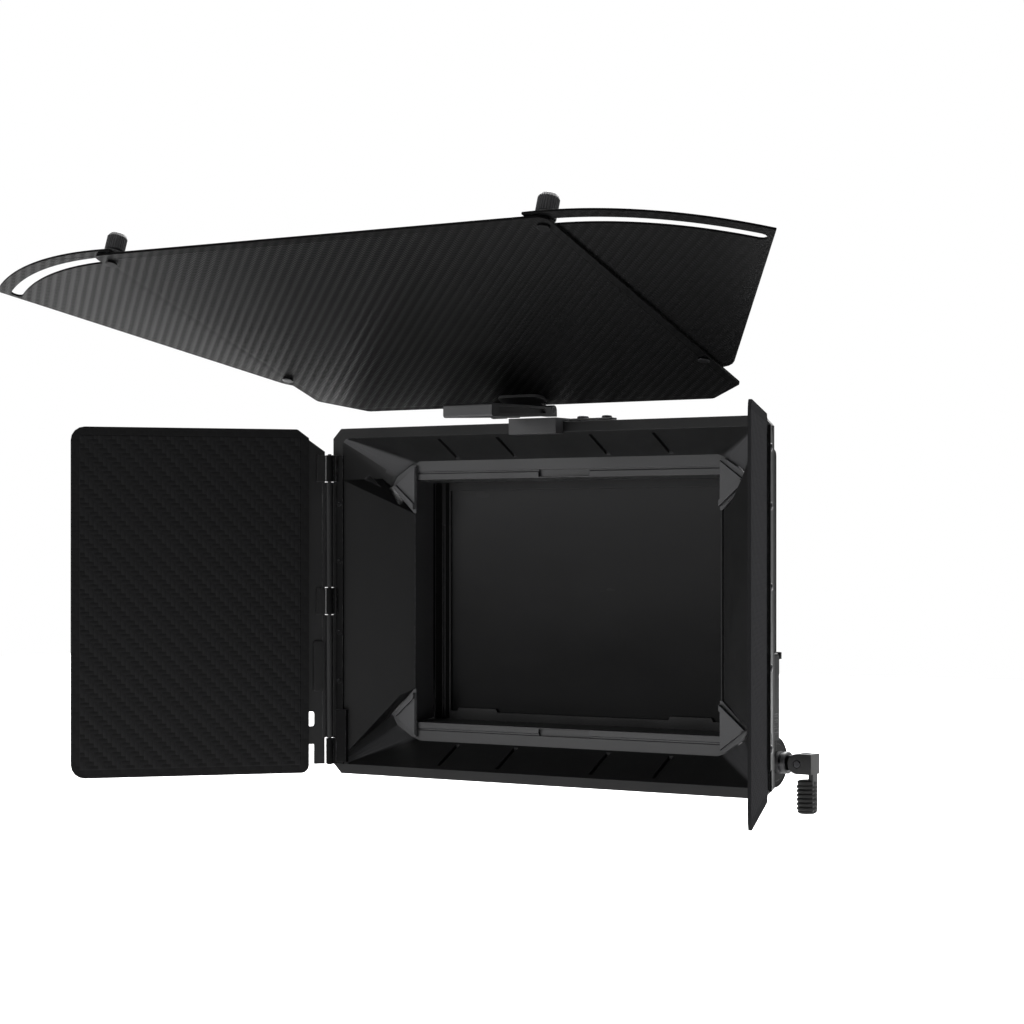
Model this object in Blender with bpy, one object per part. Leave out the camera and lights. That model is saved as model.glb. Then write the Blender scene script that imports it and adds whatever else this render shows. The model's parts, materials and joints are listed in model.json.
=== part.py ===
"""Filter matte box for a cine lens: hood, two-tray filter stage, lens clamp, top flag with wings, side flags.

Blender 4.5 script, metres, +Z up. The open mouth of the hood faces -Y.
The origin is on the optical axis, at the rear face of the lens clamp ring.
Sizes below are in millimetres; MM turns them into metres. "Depth" is counted from the lip plane towards +Y.
"""

import math

import bmesh
import bpy
from mathutils import Matrix, Vector

MM = 0.001
GAP = 0.3

# Overall
BOX_DEPTH = 78.0
LIP_HALF_W = 111.0
LIP_HALF_H = 78.0
LIP_DEPTH = 7.0
LIP_FLAT = 2.0
LIP_TAPER = 2.6
LIP_CHAMFER = 4.5
SHELL = 3.0
HOOD_PAD_X = (13.5, 35.0)
HOOD_PAD_T = 0.9

# Funnel of the hood: a quarter of its inside at the lip and at the throat, as (x, z) from the side to the top.
# A pocket in each corner runs from the second point to the fourth, and its sloping roof carries ribs.
THROAT_HALF_W = 78.8
FUNNEL_DEPTH = 19.0
LIP_QUARTER = ((105.6, 54.8), (105.6, 70.5), (105.2, 72.0), (103.9, 73.3), (102.0, 73.6))
THROAT_QUARTER = ((78.8, 39.5), (91.3, 51.5), (88.4, 56.5), (80.0, 61.8), (76.0, 63.2))
RIBS = 3
RIB_HEIGHT = 0.55
RIB_DEPTH = 15.0
GROOVE_X = (23.7, 54.5)
GROOVE_W = 2.0
GROOVE_T = 1.5
GROOVE_DEPTHS = (2.5, 17.6)
WEB_DEPTHS = (17.9, 18.7)
WEB_FACE_DEPTH = 17.0
WEB_BAR_DEPTH = 15.8
WEB_TRIANGLE = ((77.9, 41.4), (90.0, 51.7), (77.9, 60.6))
WEB_BAR_W = 2.0

# Filter stage
STAGE_HALF_W = 85.5
STAGE_HALF_H = 66.5
STAGE_WALL = 3.8
FRONT_FRAME_DEPTH = 19.3
FRONT_FRAME_T = 4.0
WINDOW_HALF_H = 54.8
BEZEL_GROOVE_Z = 58.0
BEZEL_GROOVE_W = 0.9
BEZEL_GROOVE_T = 0.7
NOTCH_X = (-13.0, 13.0)
NOTCH_H = 2.6
NOTCH_T = 1.6
SLEEVE_DRAFT = 1.0
SLEEVE_END = 33.4
SLEEVE_WALL = 2.2
STAGE_REAR = 54.7
BACK_PLATE_T = 4.0
BACK_HALF_W = 72.0
SCREW_AT = (64.0, 58.0)
SCREW_R = 3.0
SCREW_H = 2.4

# Trays for 143.5 x 101.6 mm plate filters
TRAY_T = 7.0
TRAY_DEPTHS = (33.8, 43.4)
TRAY_HALF_W = 78.3
TRAY_BOTTOM = -62.2
TRAY_TOP = 60.5
TRAY_WINDOW_HALF_W = 69.6
TRAY_WINDOW_HALF_H = 50.2
TRAY_LEDGE_X = (45.0, 65.0)
TRAY_LEDGE_Z = -48.6
TRAY_ROUND = 2.0
TAB_ROUND = 3.0
TAB_SHOULDER = (10.0, 6.0)
FILTER_HALF_W = 71.75
FILTER_HALF_H = 50.8
FILTER_T = 4.0
FILTER_INSET = 1.0
GUIDE_BOTTOM = -38.0
GUIDE_OVERLAP = 3.0
TAB_HALF_W = 16.0
TAB_TOP = 76.5
SPRING_HALF_L = 30.0
SPRING_W = 2.0
SPRING_T = 0.8
SPRING_ROUND = 0.9
TRAY_GROOVE_X = (72.6, 73.8)
TRAY_GROOVE_Z = (-57.0, 34.5)
TRAY_GROOVE_T = 0.9

# Lens clamp
CLAMP_R = 57.0
CLAMP_OUTER_R = 63.5
CLAMP_SPLIT = 3.0
EAR_W = 8.0
EAR_DROP = 14.0
SPINDLE_DEPTH = 66.0
SPINDLE_Z = -69.0
SPINDLE_R = 3.0
SPINDLE_BORE_R = 3.1
SPINDLE_START_X = -19.5
WHEEL_X = (74.0, 80.2)
WHEEL_R = 11.3
WHEEL_TEETH = 30
WHEEL_TOOTH = 0.7
NUT_R = 5.0
NUT_T = 3.6
COLLAR_R = 4.5
COLLAR_END_X = 85.9
LEVER_X = 91.5
LEVER_EYE_R = 4.4
LEVER_BORE_R = 1.8
LEVER_PIN_R = 1.6
TONGUE_HALF_H = 3.2
TONGUE_HALF_T = 1.4
TONGUE_ROUND = 3.0
LEVER_HALF_W = 4.2
LEVER_PLATE_X = (4.6, 6.8)
LEVER_PLATE_HALF_W = 2.2
LEVER_LENGTH = 20.5
GRIP_R = 4.5
GRIP_AXIS_X = 2.9
GRIP_Z = (-21.5, -6.9)

# Sprung catch that presses on the trays' right edges
CATCH_Z = (-58.0, -22.0)
CATCH_DEPTHS = (35.0, 51.5)
CATCH_AXIS_X = 87.1
CATCH_T = 2.6
CATCH_EYE_R = 1.2
CATCH_PIN_R = 0.6
CATCH_BORE_R = 0.7
NOSE_RISE = (8.0, 14.0)
LUG_T = 1.6
LUG_HALF = 1.5

# Top flag
FLAG_TILT = 18.9
TILT_DEPTH = -7.3
TILT_Z = 82.3
FLAG_OFFSET = 3.2
FLAG_T = 1.0
FLAG_FRONT = 167.5
FLAG_REAR = -1.2
FLAG_HALF_W = 106.0
FLAG_REAR_HALF_W = 87.0
FLAG_REAR_CUT = 12.6
FLAG_LEAF_HALF = ((11.0, -12.0), (11.0, -5.0), (6.7, -4.0), (6.7, 1.5))
FLAG_LEAF_LOW = 1.7
BARREL_R = 2.3
TILT_KNOB_R = 2.8
TILT_PIN_R = 1.25
BRACKET_HALF_W = 12.0
KNUCKLE_INNER = 7.0
ARM_FRONT = -56.0
ARM_REAR = -10.2
ARM_FRONT_Z = (77.6, 83.2)
ARM_REAR_Z = (79.8, 83.7)
BLOCK_TOP = 79.5
BLOCK_BOTTOM = 72.7
BLOCK_FRONT = -6.5
HOOK_DROP = 3.7
HOOK_T = 2.0
ARM_RECESS = 1.6
TILT_PIN_REACH = 5.5
TILT_KNOB_REACH = 7.6

# Wings of the top flag: sectors that turn about a screw near the panel's rear corners
WING_PIVOT = (103.0, 39.0)
WING_R = 129.8
WING_SLOT_R = 121.9
WING_SLOT_W = 4.9
WING_ROUND = 12.0
WING_SWEEP = 32.8
WING_INNER = 2.4
WING_SLOT_ANGLES = (-0.9, 36.3)
WING_T = 0.9
STUD_AT = (101.4, 160.7)
STUD_R = 1.7
PIVOT_R = 2.0
KNOB_R = 4.1
KNOB_H = 10.3
KNOB_TAIL = 18.0
KNOB_TAIL_T = 1.4
KNOB_TAIL_HALF_W = 2.2
STUD_H = 5.5
RIVET = (2.4, 0.6)
PIVOT_HEAD = (4.2, 1.6)

# Side flags
HINGE_X = 110.6
HINGE_DEPTH = -3.2
KNUCKLE_R = 1.7
KNUCKLE_BORE_R = 0.95
PIN_R = 0.8
STRIP_Z = (-73.7, 66.0)
FIXED_KNUCKLES = ((-73.7, -62.0), (-6.0, 6.0), (54.0, 66.0))
MOVING_KNUCKLES = ((-61.7, -6.3), (6.3, 53.7))
STRIP_INNER_X = 104.6
STRIP_OUTER_X = 108.4
STRIP_BLOCK_X = (102.2, 107.8)
STRIP_BLOCK_Z = (-72.6, -49.0)
STRIP_T = 1.5
STRIP_BLOCK_T = 2.4
STRIP_WEB_T = 2.6
SIDE_HALF_H = 77.5
SIDE_REACH = (9.6, 116.0)
SIDE_T = 1.2
SIDE_CHAMFER = (14.9, 73.6)
LEAF_REACH = (2.0, 15.0)
LEAF_NARROW = 6.9
LEAF_SLIT_TOP = -64.7
LEAF_HOLE = (6.8, 10.0, -56.6, -50.0)
LEAF_TOP = (67.6, 73.0)
LEAF_BOTTOM = -73.7
LEAF_T = 1.2
LEAF_WEB = 3.2
PAD_REACH = (2.6, 7.4)
PAD_Z = (-40.8, -18.0)
SWINGS = {"left": -40.9, "right": 23.7}

FINISHES = {
    "anodised": ((0.018, 0.018, 0.020), 0.45, 0.7),
    "moulded": ((0.022, 0.022, 0.023), 0.62, 0.0),
    "carbon": ((0.020, 0.020, 0.022), 0.38, 0.0),
    "glass": ((0.012, 0.013, 0.015), 0.06, 0.0),
    "steel": ((0.30, 0.30, 0.31), 0.35, 1.0),
    "rubber": ((0.015, 0.015, 0.015), 0.85, 0.0),
}


def clear_scene():
    for obj in list(bpy.data.objects):
        bpy.data.objects.remove(obj, do_unlink=True)


def finish(name, kind):
    """A Principled material for one node."""
    colour, roughness, metallic = FINISHES[kind]
    material = bpy.data.materials.new(name + "_finish")
    material.use_nodes = True
    shader = material.node_tree.nodes["Principled BSDF"]
    shader.inputs["Base Color"].default_value = (*colour, 1.0)
    shader.inputs["Roughness"].default_value = roughness
    shader.inputs["Metallic"].default_value = metallic
    return material


def add_empty(name, at, turn=(0.0, 0.0, 0.0), parent=None):
    """A guide that carries a moving assembly, on its joint's axis."""
    empty = bpy.data.objects.new(name, None)
    bpy.context.scene.collection.objects.link(empty)
    empty.location = Vector(at) * MM
    empty.rotation_euler = [math.radians(angle) for angle in turn]
    empty.parent = parent
    return empty


def add_node(name, bm, kind, parent=None, origin=(0.0, 0.0, 0.0)):
    """Turns a bmesh in millimetres into one named object whose origin is at `origin` of its parent's frame."""
    bmesh.ops.recalc_face_normals(bm, faces=bm.faces)
    bm.transform(Matrix.Translation(-Vector(origin)))
    bm.transform(Matrix.Scale(MM, 4))
    mesh = bpy.data.meshes.new(name)
    bm.to_mesh(mesh)
    bm.free()
    obj = bpy.data.objects.new(name, mesh)
    bpy.context.scene.collection.objects.link(obj)
    mesh.materials.append(finish(name, kind))
    mesh.shade_smooth()
    mesh.set_sharp_from_angle(angle=math.radians(30))
    obj.location = Vector(origin) * MM
    obj.parent = parent
    return obj


def combine(obj, other, operation):
    """Joins or cuts obj with a hidden helper object."""
    other.hide_render = True
    other.display_type = "WIRE"
    modifier = obj.modifiers.new(operation.lower(), "BOOLEAN")
    modifier.operation = operation
    modifier.solver = "EXACT"
    modifier.object = other
    return obj


# ---------------------------------------------------------------- outlines, as lists of (a, b) in millimetres


def rectangle(a0, a1, b0, b1):
    return [(a0, b0), (a1, b0), (a1, b1), (a0, b1)]


def centred(half_a, half_b):
    return rectangle(-half_a, half_a, -half_b, half_b)


def arc(centre, radius, start, end, steps):
    """Points on an arc, angles in degrees counter-clockwise from the first axis."""
    points = []
    for i in range(steps + 1):
        angle = math.radians(start + (end - start) * i / steps)
        points.append((centre[0] + radius * math.cos(angle), centre[1] + radius * math.sin(angle)))
    return points


def circle(centre, radius, sides):
    return arc(centre, radius, 0.0, 360.0 * (sides - 1) / sides, sides - 1)


def rounded(corners, radii, steps=4):
    """Rounds the corners of a convex or concave outline, each with its own radius."""
    outline = []
    count = len(corners)
    for i, (corner, radius) in enumerate(zip(corners, radii)):
        here = Vector(corner)
        if radius <= 0.0:
            outline.append(tuple(here))
            continue
        before = (Vector(corners[i - 1]) - here).normalized()
        after = (Vector(corners[(i + 1) % count]) - here).normalized()
        half = before.angle(after) / 2.0
        centre = here + (before + after).normalized() * radius / math.sin(half)
        start = here + before * radius / math.tan(half) - centre
        end = here + after * radius / math.tan(half) - centre
        sweep = start.angle_signed(end)
        for step in range(steps + 1):
            angle = -sweep * step / steps
            turned = Matrix.Rotation(angle, 2) @ start
            outline.append(tuple(centre + turned))
    return outline


# ---------------------------------------------------------------- solids, as bmeshes in millimetres

AXES = {
    "X": lambda a, b, c: (c, a, b),
    "Y": lambda a, b, c: (a, c, b),
    "Z": lambda a, b, c: (a, b, c),
}


def prism(outline, low, high, along="Z", holes=()):
    """Extrudes an outline with holes; "X" takes (y, z) outlines, "Y" takes (x, z) and "Z" takes (x, y)."""
    bm = bmesh.new()
    place = AXES[along]
    edges = []
    for loop in (outline, *holes):
        verts = [bm.verts.new(place(a, b, low)) for a, b in loop]
        edges += [bm.edges.new((verts[i - 1], verts[i])) for i in range(len(verts))]
    filled = bmesh.ops.triangle_fill(bm, use_beauty=True, use_dissolve=False, edges=edges)
    faces = [item for item in filled["geom"] if isinstance(item, bmesh.types.BMFace)]
    lifted = bmesh.ops.extrude_face_region(bm, geom=faces, use_keep_orig=True)
    moved = [item for item in lifted["geom"] if isinstance(item, bmesh.types.BMVert)]
    bmesh.ops.translate(bm, verts=moved, vec=Vector(place(0.0, 0.0, high - low)))
    return bm


def box(x, y, z):
    """A block between three (low, high) pairs."""
    return prism(rectangle(*x, *y), *z)


def rod(centre, radius, low, high, along, sides=16):
    """A round bar; centre is in the plane across the axis."""
    return prism(circle(centre, radius, sides), low, high, along)


def both_ways(side, near, far):
    """Low and high coordinate of a stretch that lies on one side of the middle."""
    return tuple(sorted((side * near, side * far)))


def loft(rings, along="Y"):
    """A ring-shaped shell through closed cross-sections that return to the first one."""
    bm = bmesh.new()
    place = AXES[along]
    loops = [[bm.verts.new(place(a, b, depth)) for a, b in outline] for depth, outline in rings]
    for first, second in zip(loops, loops[1:] + loops[:1]):
        for i in range(len(first)):
            bm.faces.new((first[i - 1], first[i], second[i], second[i - 1]))
    return bm


def at_depth(depth):
    """World Y, in millimetres, of a depth behind the lip plane."""
    return depth - BOX_DEPTH


def span(low, high):
    return at_depth(low), at_depth(high)


# ---------------------------------------------------------------- hood


def ribbed(quarter, height):
    """Adds a zigzag of ribs to the stretch between a quarter outline's third and fourth points."""
    start = Vector(quarter[2])
    along = Vector(quarter[3]) - start
    inwards = -Vector((-along.y, along.x)).normalized()
    if inwards.dot(start) > 0.0:
        inwards = -inwards
    ridge = []
    for i in range(1, 2 * RIBS):
        lift = height if i % 2 else 0.0
        ridge.append(tuple(start + along * i / (2.0 * RIBS) + inwards * lift))
    return list(quarter[:3]) + ridge + list(quarter[3:])


def four_corners(quarter):
    """Whole outline, counter-clockwise, from the quarter where both coordinates are positive."""
    mirrored = [(-x, z) for x, z in reversed(quarter)]
    half = list(quarter) + mirrored
    return half + [(-x, -z) for x, z in half]


def quarter_at(depth, rib_height=0.0):
    """The funnel's inside at a depth, one quarter, with the points of its ribs."""
    share = depth / FUNNEL_DEPTH
    flat = [tuple(Vector(a).lerp(Vector(b), share)) for a, b in zip(LIP_QUARTER, THROAT_QUARTER)]
    return ribbed(flat, rib_height)


def offset(outline, distance):
    """Moves each side of a counter-clockwise outline outwards."""
    count = len(outline)
    moved = []
    for i, corner in enumerate(outline):
        here = Vector(corner)
        before = (here - Vector(outline[i - 1])).normalized()
        after = (Vector(outline[(i + 1) % count]) - here).normalized()
        normal = Vector((before.y + after.y, -before.x - after.x)).normalized()
        reach = distance / max(normal.dot(Vector((before.y, -before.x))), 0.6)
        moved.append(tuple(here + normal * reach))
    return moved


def rim_quarter(half_w):
    """Quarter of the rim's outside, with as many points as the funnel's quarter."""
    side = [(half_w, LIP_HALF_H * share) for share in (0.5, 0.7, 0.85)]
    cut = [(half_w - LIP_CHAMFER * i / 5.0, LIP_HALF_H - LIP_CHAMFER * (5 - i) / 5.0) for i in range(6)]
    return side + cut + [(half_w - LIP_CHAMFER - 12.0, LIP_HALF_H)]


def make_hood():
    """Shallow funnel with a square rim, a ribbed pocket in each corner and grooves along its top and bottom."""
    step = offset(four_corners(quarter_at(LIP_DEPTH)), SHELL)
    rear = offset(four_corners(quarter_at(FUNNEL_DEPTH)), SHELL)
    rings = [
        (at_depth(0.0), four_corners(rim_quarter(LIP_HALF_W))),
        (at_depth(LIP_FLAT), four_corners(rim_quarter(LIP_HALF_W))),
        (at_depth(LIP_DEPTH), four_corners(rim_quarter(LIP_HALF_W - LIP_TAPER))),
        (at_depth(LIP_DEPTH), step),
        (at_depth(FUNNEL_DEPTH), rear),
        (at_depth(FUNNEL_DEPTH), four_corners(quarter_at(FUNNEL_DEPTH))),
        (at_depth(RIB_DEPTH), four_corners(quarter_at(RIB_DEPTH, RIB_HEIGHT))),
        (at_depth(0.0), four_corners(quarter_at(0.0))),
    ]
    hood = add_node("hood_shell", loft(rings), "moulded")
    for level, height in ((-1.0, "lower"), (1.0, "upper")):
        for number, x in enumerate([-GROOVE_X[1], -GROOVE_X[0], GROOVE_X[0], GROOVE_X[1]], 1):
            cutter = add_node("hood_groove_{}_{}".format(height, number), make_groove(x, level), "moulded")
            combine(hood, cutter, "DIFFERENCE")


def make_groove(x, level):
    """Cutter for one groove that follows the slope of the funnel's top or bottom wall."""
    front, rear = [(at_depth(depth), quarter_at(depth)[-1][1]) for depth in GROOVE_DEPTHS]
    outline = [(front[0], front[1] - GROOVE_T), (rear[0], rear[1] - GROOVE_T),
               (rear[0], rear[1] + GROOVE_T), (front[0], front[1] + GROOVE_T)]
    outline = [(y, z * level) for y, z in outline]
    return prism(outline, x - GROOVE_W / 2.0, x + GROOVE_W / 2.0, "X")


def make_gusset(name, side, level):
    """Web that closes one corner pocket at the throat, with a raised triangle and a bar along one edge."""
    inner_x = WEB_TRIANGLE[0][0] - 0.9
    pocket = list(THROAT_QUARTER[:4])
    pocket = offset([(inner_x + GAP, THROAT_QUARTER[0][1])] + pocket + [(inner_x + GAP, pocket[-1][1])], -GAP)
    start, end = Vector(WEB_TRIANGLE[0]), Vector(WEB_TRIANGLE[1])
    across = (end - start).normalized() * WEB_BAR_W
    bar_end = end + Vector((-across.y - across.x * 0.5, across.x * 0.6))
    bar = [start, end, bar_end, start + Vector((0.0, WEB_BAR_W * 1.3))]
    web = add_node(name, web_layer(pocket, WEB_DEPTHS, side, level), "moulded")
    raised = web_layer(WEB_TRIANGLE, (WEB_FACE_DEPTH, WEB_DEPTHS[0] + 0.5), side, level)
    combine(web, add_node(name + "_triangle", raised, "moulded"), "UNION")
    raised = web_layer(bar, (WEB_BAR_DEPTH, WEB_DEPTHS[0] + 0.2), side, level)
    combine(web, add_node(name + "_bar", raised, "moulded"), "UNION")


def web_layer(outline, depths, side, level):
    """One thickness of a web, mirrored into its own corner."""
    return prism([(x * side, z * level) for x, z in outline], *span(*depths), "Y")


def make_hood_pad():
    """Low screwed plate on top of the rim, beside the flag bracket."""
    outline = rounded(rectangle(*HOOD_PAD_X, *span(1.0, 6.5)), [1.5] * 4)
    bm = prism(outline, LIP_HALF_H + GAP, LIP_HALF_H + GAP + HOOD_PAD_T)
    add_node("hood_top_pad", bm, "anodised")


# ---------------------------------------------------------------- filter stage


def make_front_frame():
    """Plate with a picture-frame opening and a sleeve that reaches back to the first tray."""
    front = at_depth(FRONT_FRAME_DEPTH)
    plate_rear = at_depth(FRONT_FRAME_DEPTH + FRONT_FRAME_T)
    inner_w = THROAT_HALF_W
    plate = centred(STAGE_HALF_W, STAGE_HALF_H)
    sleeve = centred(inner_w + SLEEVE_WALL, WINDOW_HALF_H + SLEEVE_WALL)
    rings = [
        (front, plate),
        (plate_rear, plate),
        (plate_rear, sleeve),
        (at_depth(SLEEVE_END), sleeve),
        (at_depth(SLEEVE_END), centred(inner_w, WINDOW_HALF_H - SLEEVE_DRAFT)),
        (front, centred(inner_w, WINDOW_HALF_H)),
    ]
    frame = add_node("stage_front_frame", loft(rings), "anodised")
    half = BEZEL_GROOVE_W / 2.0
    for level, name in ((-1.0, "lower"), (1.0, "upper")):
        z = both_ways(level, BEZEL_GROOVE_Z - half, BEZEL_GROOVE_Z + half)
        line = box((-inner_w + 1.0, inner_w - 1.0), (front - 1.0, front + BEZEL_GROOVE_T), z)
        combine(frame, add_node("bezel_groove_" + name, line, "anodised"), "DIFFERENCE")
        z = both_ways(level, BEZEL_GROOVE_Z - NOTCH_H, BEZEL_GROOVE_Z + half)
        notch = box(NOTCH_X, (front - 1.0, front + NOTCH_T), z)
        combine(frame, add_node("latch_notch_" + name, notch, "anodised"), "DIFFERENCE")


def make_stage_walls():
    """Side plates, floor and the guide strips that keep the two trays apart."""
    front = FRONT_FRAME_DEPTH + FRONT_FRAME_T + GAP
    inner = STAGE_HALF_W - STAGE_WALL
    guide = (TRAY_DEPTHS[0] + TRAY_T + GAP, TRAY_DEPTHS[1] - GAP)
    for side, name in ((-1.0, "left"), (1.0, "right")):
        make_stage_side(name, side)
        x = both_ways(side, TRAY_HALF_W - GUIDE_OVERLAP, inner - GAP)
        add_node("tray_guide_" + name, box(x, span(*guide), (GUIDE_BOTTOM, STAGE_HALF_H - 4.0)), "moulded")
    floor = box((-inner + GAP, inner - GAP), span(front, STAGE_REAR), (-STAGE_HALF_H, TRAY_BOTTOM - 0.5))
    add_node("stage_floor", floor, "anodised")


def make_back_plate():
    """Rear plate with the round lens port."""
    low = at_depth(STAGE_REAR + GAP)
    outline = rounded(centred(BACK_HALF_W, STAGE_HALF_H), [6.0] * 4)
    bm = prism(outline, low, low + BACK_PLATE_T, "Y", [circle((0.0, 0.0), CLAMP_R, 48)])
    add_node("back_plate", bm, "anodised")


def make_clamp_ring():
    """Split ring with two ears; its rear face is the plane of the origin."""
    low = at_depth(STAGE_REAR + GAP + BACK_PLATE_T + GAP)
    half_split = CLAMP_SPLIT / 2.0
    inner_start = math.degrees(math.asin(half_split / CLAMP_R))
    ear_start = math.degrees(math.asin((half_split + EAR_W) / CLAMP_OUTER_R))
    ear_bottom = -CLAMP_OUTER_R - EAR_DROP + 1.0
    outline = arc((0.0, 0.0), CLAMP_R, -90.0 + inner_start, 270.0 - inner_start, 44)
    outline.append((-half_split, ear_bottom))
    outline.append((-half_split - EAR_W, ear_bottom))
    outline += arc((0.0, 0.0), CLAMP_OUTER_R, 270.0 - ear_start, -90.0 + ear_start, 44)
    outline.append((half_split + EAR_W, ear_bottom))
    outline.append((half_split, ear_bottom))
    ring = add_node("clamp_ring", prism(outline, low, 0.0, "Y"), "anodised")
    reach = half_split + EAR_W + 5.0
    bore = rod((at_depth(SPINDLE_DEPTH), SPINDLE_Z), SPINDLE_BORE_R, -reach, reach, "X", 20)
    combine(ring, add_node("clamp_ring_bore", bore, "anodised"), "DIFFERENCE")


def make_back_screws():
    """Cap heads that hold the back plate to the stage, one in each corner."""
    low = at_depth(STAGE_REAR + GAP + BACK_PLATE_T + GAP)
    across, up = SCREW_AT
    corners = [(x, z) for x in (-across, across) for z in (-up, up)]
    for number, corner in enumerate(corners, 1):
        head = rod(corner, SCREW_R, low, low + SCREW_H, "Y", 12)
        add_node("back_plate_screw_{}".format(number), head, "steel")


# ---------------------------------------------------------------- filter trays


def tray_window():
    """Window of a tray; two ledges on its lower edge keep the filter in."""
    half_w, half_h = TRAY_WINDOW_HALF_W, TRAY_WINDOW_HALF_H
    inner, outer = TRAY_LEDGE_X
    ledge = [(inner - 1.0, -half_h), (inner, TRAY_LEDGE_Z), (outer, TRAY_LEDGE_Z), (outer + 1.0, -half_h)]
    mirrored = [(-x, z) for x, z in reversed(ledge)]
    return [(-half_w, -half_h)] + mirrored + ledge + [(half_w, -half_h), (half_w, half_h), (-half_w, half_h)]


def tray_outline():
    """Rectangle with a finger tab that stands up from the middle of its top edge."""
    wide, rise = TAB_SHOULDER
    right = [(TRAY_HALF_W, TRAY_BOTTOM), (TRAY_HALF_W, TRAY_TOP), (TAB_HALF_W + wide, TRAY_TOP),
             (TAB_HALF_W, TRAY_TOP + rise), (TAB_HALF_W, TAB_TOP)]
    radii = [TRAY_ROUND, TRAY_ROUND, TAB_ROUND, TAB_ROUND, TAB_ROUND]
    left = [(-x, z) for x, z in reversed(right)]
    return rounded(right + left, radii + radii[::-1], 2)


def make_tray(number, depth):
    """Tray frame with a rebate for the filter, the filter, and the leaf springs that press on it."""
    stem = "tray_{}".format(number)
    guide = add_empty(stem + "_slide", (0.0, at_depth(depth), 0.0))
    rebate_w = FILTER_HALF_W + GAP
    rebate_h = FILTER_HALF_H + GAP
    body = prism(tray_outline(), 0.0, TRAY_T, "Y", [tray_window()])
    frame = add_node(stem + "_frame", body, "moulded", guide)
    pocket = prism(centred(rebate_w, rebate_h), FILTER_INSET, TRAY_T + 2.0, "Y")
    combine(frame, add_node(stem + "_pocket", pocket, "moulded", guide), "DIFFERENCE")
    for side, name in ((-1.0, "left"), (1.0, "right")):
        line = prism(rectangle(*both_ways(side, *TRAY_GROOVE_X), *TRAY_GROOVE_Z), -1.0, TRAY_GROOVE_T, "Y")
        combine(frame, add_node("{}_groove_{}".format(stem, name), line, "moulded", guide), "DIFFERENCE")
    near = FILTER_INSET + GAP
    plate = prism(centred(FILTER_HALF_W, FILTER_HALF_H), near, near + FILTER_T, "Y")
    add_node(stem + "_filter", plate, "glass", guide)
    low = FILTER_INSET + FILTER_T + 2.0 * GAP
    for side, name in ((-1.0, "left"), (1.0, "right")):
        x = both_ways(side, FILTER_HALF_W - 0.2 - SPRING_W, FILTER_HALF_W - 0.2)
        outline = rounded(rectangle(*x, -SPRING_HALF_L, SPRING_HALF_L), [SPRING_ROUND] * 4, 2)
        spring = prism(outline, low, low + SPRING_T, "Y")
        add_node("{}_spring_{}".format(stem, name), spring, "steel", guide)


# ---------------------------------------------------------------- lens clamp drive


def toothed(centre, radius, teeth, depth):
    """Outline of a coarse straight knurl."""
    outline = []
    for i in range(teeth * 2):
        angle = math.radians(180.0 * i / teeth)
        reach = radius - depth * (i % 2)
        outline.append((centre[0] + reach * math.cos(angle), centre[1] + reach * math.sin(angle)))
    return outline


def make_clamp_drive():
    """Long spindle through the ears, knurled wheel outside the stage, and a cam lever on the tongue."""
    across = (at_depth(SPINDLE_DEPTH), SPINDLE_Z)
    pivot = add_empty("clamp_spindle_axis", (0.0, *across))
    shaft = rod((0.0, 0.0), SPINDLE_R, SPINDLE_START_X, COLLAR_END_X - 2.0, "X", 20)
    spindle = add_node("clamp_spindle", shaft, "steel", pivot)
    collar = rod((0.0, 0.0), COLLAR_R, WHEEL_X[1] + GAP, COLLAR_END_X, "X", 20)
    combine(spindle, add_node("spindle_collar", collar, "steel", pivot), "UNION")
    outline = rectangle(COLLAR_END_X - 1.0, LEVER_X + TONGUE_ROUND, -TONGUE_HALF_H, TONGUE_HALF_H)
    outline = rounded(outline, [0.0, TONGUE_ROUND, TONGUE_ROUND, 0.0])
    tongue = prism(outline, -TONGUE_HALF_T, TONGUE_HALF_T, "Y", [circle((LEVER_X, 0.0), LEVER_BORE_R, 16)])
    combine(spindle, add_node("spindle_tongue", tongue, "steel", pivot), "UNION")
    rim = toothed((0.0, 0.0), WHEEL_R, WHEEL_TEETH, WHEEL_TOOTH)
    wheel = prism(rim, *WHEEL_X, "X", [circle((0.0, 0.0), SPINDLE_R + GAP, 20)])
    add_node("clamp_wheel", wheel, "anodised", pivot)
    pin = rod((LEVER_X, 0.0), LEVER_PIN_R, -LEVER_HALF_W, LEVER_HALF_W, "Y", 16)
    add_node("lever_pin", pin, "steel", pivot)
    make_clamp_lever(pivot)
    ear_face = -CLAMP_SPLIT / 2.0 - EAR_W - GAP
    nut = prism(circle(across, NUT_R, 6), ear_face - NUT_T, ear_face, "X", [circle(across, SPINDLE_BORE_R, 20)])
    add_node("clamp_nut", nut, "steel")


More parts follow.
